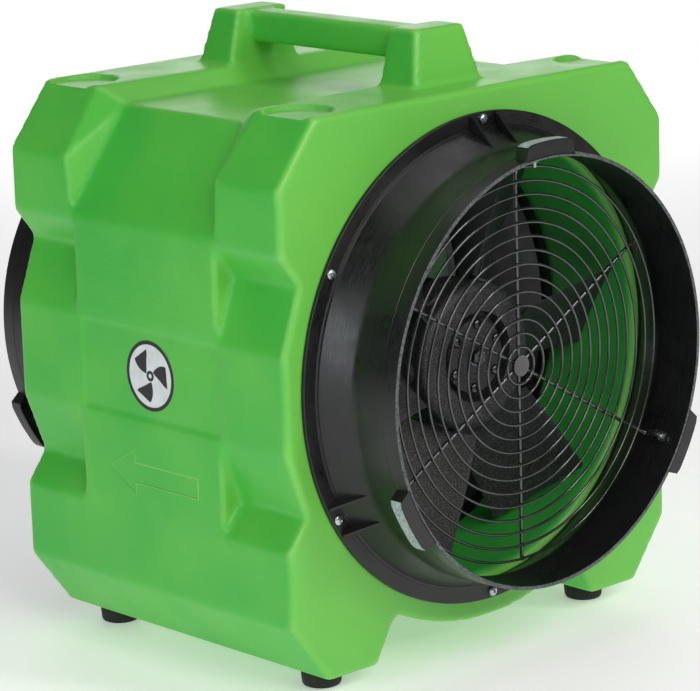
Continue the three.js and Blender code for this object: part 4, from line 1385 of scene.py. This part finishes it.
def facing_side(piece, x, y, z):
    """Turns a lathed piece so that its top faces the right side, and puts it in place."""
    place = Vector((x, y, z + axis_height)) * mm
    piece.data.transform(Matrix.Translation(place) @ Matrix.Rotation(radians(90), 4, "Y"))
    return piece


# Black nylon from a spark-eroded mould: an even fine leathery grain, matt.
panel_nylon = mottled("textured_panel_nylon", (1.1, 3), (0.35, 0.7), ("#101112", "#1D1E20"),
                      (0.42, 0.58), (0.12, 0.6), IOR=1.53)
gland_bore = lathed("bore", [(0, 0), (8.4, 0), (8.4, 20), (0, 20)], 48)
gland_bore = facing_side(gland_bore, panel_face - 10, gland_y, 0)
panel = drilled(
    rounded_plate("side_switch_panel", panel_high[1], panel_high[2], 5, panel_low[0], panel_face),
    block((panel_face - 10, rocker_y - 9.5, -14.5), (panel_face + 5, rocker_y + 9.5, 14.5)),
    gland_bore,
)
finish_piece(panel, "machine", panel_nylon, "black_nylon", "switch_panel")
panel_screws = []
for y in (-57, 57):
    for z in (-28, 28):
        screw = pan_head_screw(3.6, 2.2, 1.5, 9)
        screw.data.transform(Matrix.Rotation(0.05 * y + 0.03 * z, 4, "Z"))
        panel_screws.append(facing_side(screw, panel_face + 0.05, y, z))
panel_screws = joined("panel_screws", panel_screws)
finish_piece(panel_screws, "machine", zinc, "zinc_screw")

bezel_low, bezel_high = box_of("switch_bezel")
bezel = drilled(
    rounded_plate("switch_frame", 12, 18, 2.5, panel_face + 0.3, bezel_high[0], (rocker_y, 0)),
    block((panel_face - 5, rocker_y - 7.2, -13.2), (panel_face + 9, rocker_y + 7.2, 13.2)),
)
well = drilled(
    block((bezel_low[0], rocker_y - 9, -14.2), (panel_face + 0.6, rocker_y + 9, 14.2)),
    block((bezel_low[0] + 1, rocker_y - 7.2, -13.2), (panel_face + 9, rocker_y + 7.2, 13.2)),
)
switch_frame = joined("switch_frame_and_well", [bezel, well])
finish_piece(switch_frame, "machine", switch_plastic, "switch_plastic", "switch_bezel")


def rocker_key():
    """The rocker's two-winged key, pressed to off, with a shallow hollow in each wing."""
    rest, half = radians(-12), 6.8
    upper = [(0.9 + t + 1.5 * t ** 2, 12 * t) for t in np.linspace(0, 1, 9)]
    section = [*[(u, -v) for u, v in reversed(upper[1:])], *upper, (-6, 7), (-6, -7)]
    tipped = [(u * cos(rest) - v * sin(rest), u * sin(rest) + v * cos(rest)) for u, v in section]
    loops = [[(rocker_x + x, rocker_y + y, z) for x, z in tipped] for y in (-half, half)]
    key = bevelled(skinned("rocker_key", loops), 0.5, angle=radians(40))
    smooth_shaded(key, 40)
    return key


key = rocker_key()
finish_piece(key, "rocker", switch_plastic, "switch_plastic", "switch_rocker")

gland_body = [(4.2, -7), (8, -7), (8, 3.3), (9, 3.3), (9.6, 3.6), (9.6, 9.2)]
gland_cap = [(9.6, 9.2), (10, 9.8), (10, 14.6), (9.4, 15.6), (7, 18.6), (6.4, 19), (4.2, 19)]
gland = lathed("gland", [*gland_body, *gland_cap], 64)
smooth_shaded(gland, 35)
hexagon = lathed("hexagon", [(8.5, 3.3), (11.5, 3.3), (11.5, 8.4), (10.8, 9), (8.5, 9)], 6)
seal = lathed("seal", [(4.3, 17.4), (6.3, 17.4), (6.3, 18.4), (5.8, 18.8), (4.3, 18.8)], 48)
smooth_shaded(seal, 35)
gland = facing_side(joined("cord_gland", [gland, hexagon, seal]), panel_face - 3, gland_y, 0)
finish_piece(gland, "machine", panel_nylon, "black_nylon", "cable_gland")

# ---- Floor, lights and backdrop -----------------------------------------------------------------
# A round white table lit faintly from within, a broad key light from the front left, softer
# fills, and a large softbox behind, in a dim studio.
table_radius, table_sides = 3.2, 96
floor_mesh = bpy.data.meshes.new("floor")
table_edge = [2 * pi * k / table_sides for k in range(table_sides)]
table_rim = [(table_radius * cos(a), table_radius * sin(a), 0) for a in table_edge]
floor_mesh.from_pydata(table_rim, [], [tuple(range(table_sides))])
floor = placed("floor", floor_mesh)
floor_mesh.materials.append(start_material(
    "lit_white_acrylic", Roughness=0.7, Base_Color=linear("#FAFAFA"),
    Emission_Color=linear("#FFFFFF"), Emission_Strength=0.3,
)[0])


def area_light(name, place, aim, width, height, power, hex_colour="#FFFFFF"):
    """A soft box that faces a point."""
    light = bpy.data.lights.new(name, "AREA")
    light.shape = "RECTANGLE"
    light.size, light.size_y, light.energy = width, height, power
    light.color = linear(hex_colour)[:3]
    holder = placed(name, light)
    holder.location = place
    holder.rotation_mode = "QUATERNION"
    holder.rotation_quaternion = (Vector(aim) - Vector(place)).to_track_quat("-Z", "Y")


middle = (0, 0, 0.3)
area_light("key", (-0.9, -2.6, 1.9), middle, 1.6, 1.2, 36, "#FFFAF2")
area_light("key_strip", (0.75, -2.5, 1.9), middle, 0.35, 1.6, 21)
area_light("left_fill", (-2.9, -0.3, 1.0), middle, 1.4, 1.6, 21, "#F4FBFF")
area_light("top", (0.2, 0.2, 2.6), middle, 2.0, 2.0, 12)
area_light("rear_softbox", (2.3, 2.5, 1.0), (0, 0, 0.6), 3.0, 1.8, 30)

# The studio is dim, but what shows behind the machine is lit white by itself.
backdrop = bpy.data.worlds.new("white_studio")
backdrop.use_nodes = True
studio = backdrop.node_tree
straight = add(studio, "ShaderNodeLightPath").outputs["Is Camera Ray"]
studio.nodes["Background"].inputs["Color"].default_value = linear("#FFFFFF")
brightness = between(studio, straight, 0, 1, 0.1, 1.0)
studio.links.new(brightness, studio.nodes["Background"].inputs["Strength"])
bpy.context.scene.world = backdrop
bpy.context.scene.view_settings.view_transform = "Standard"
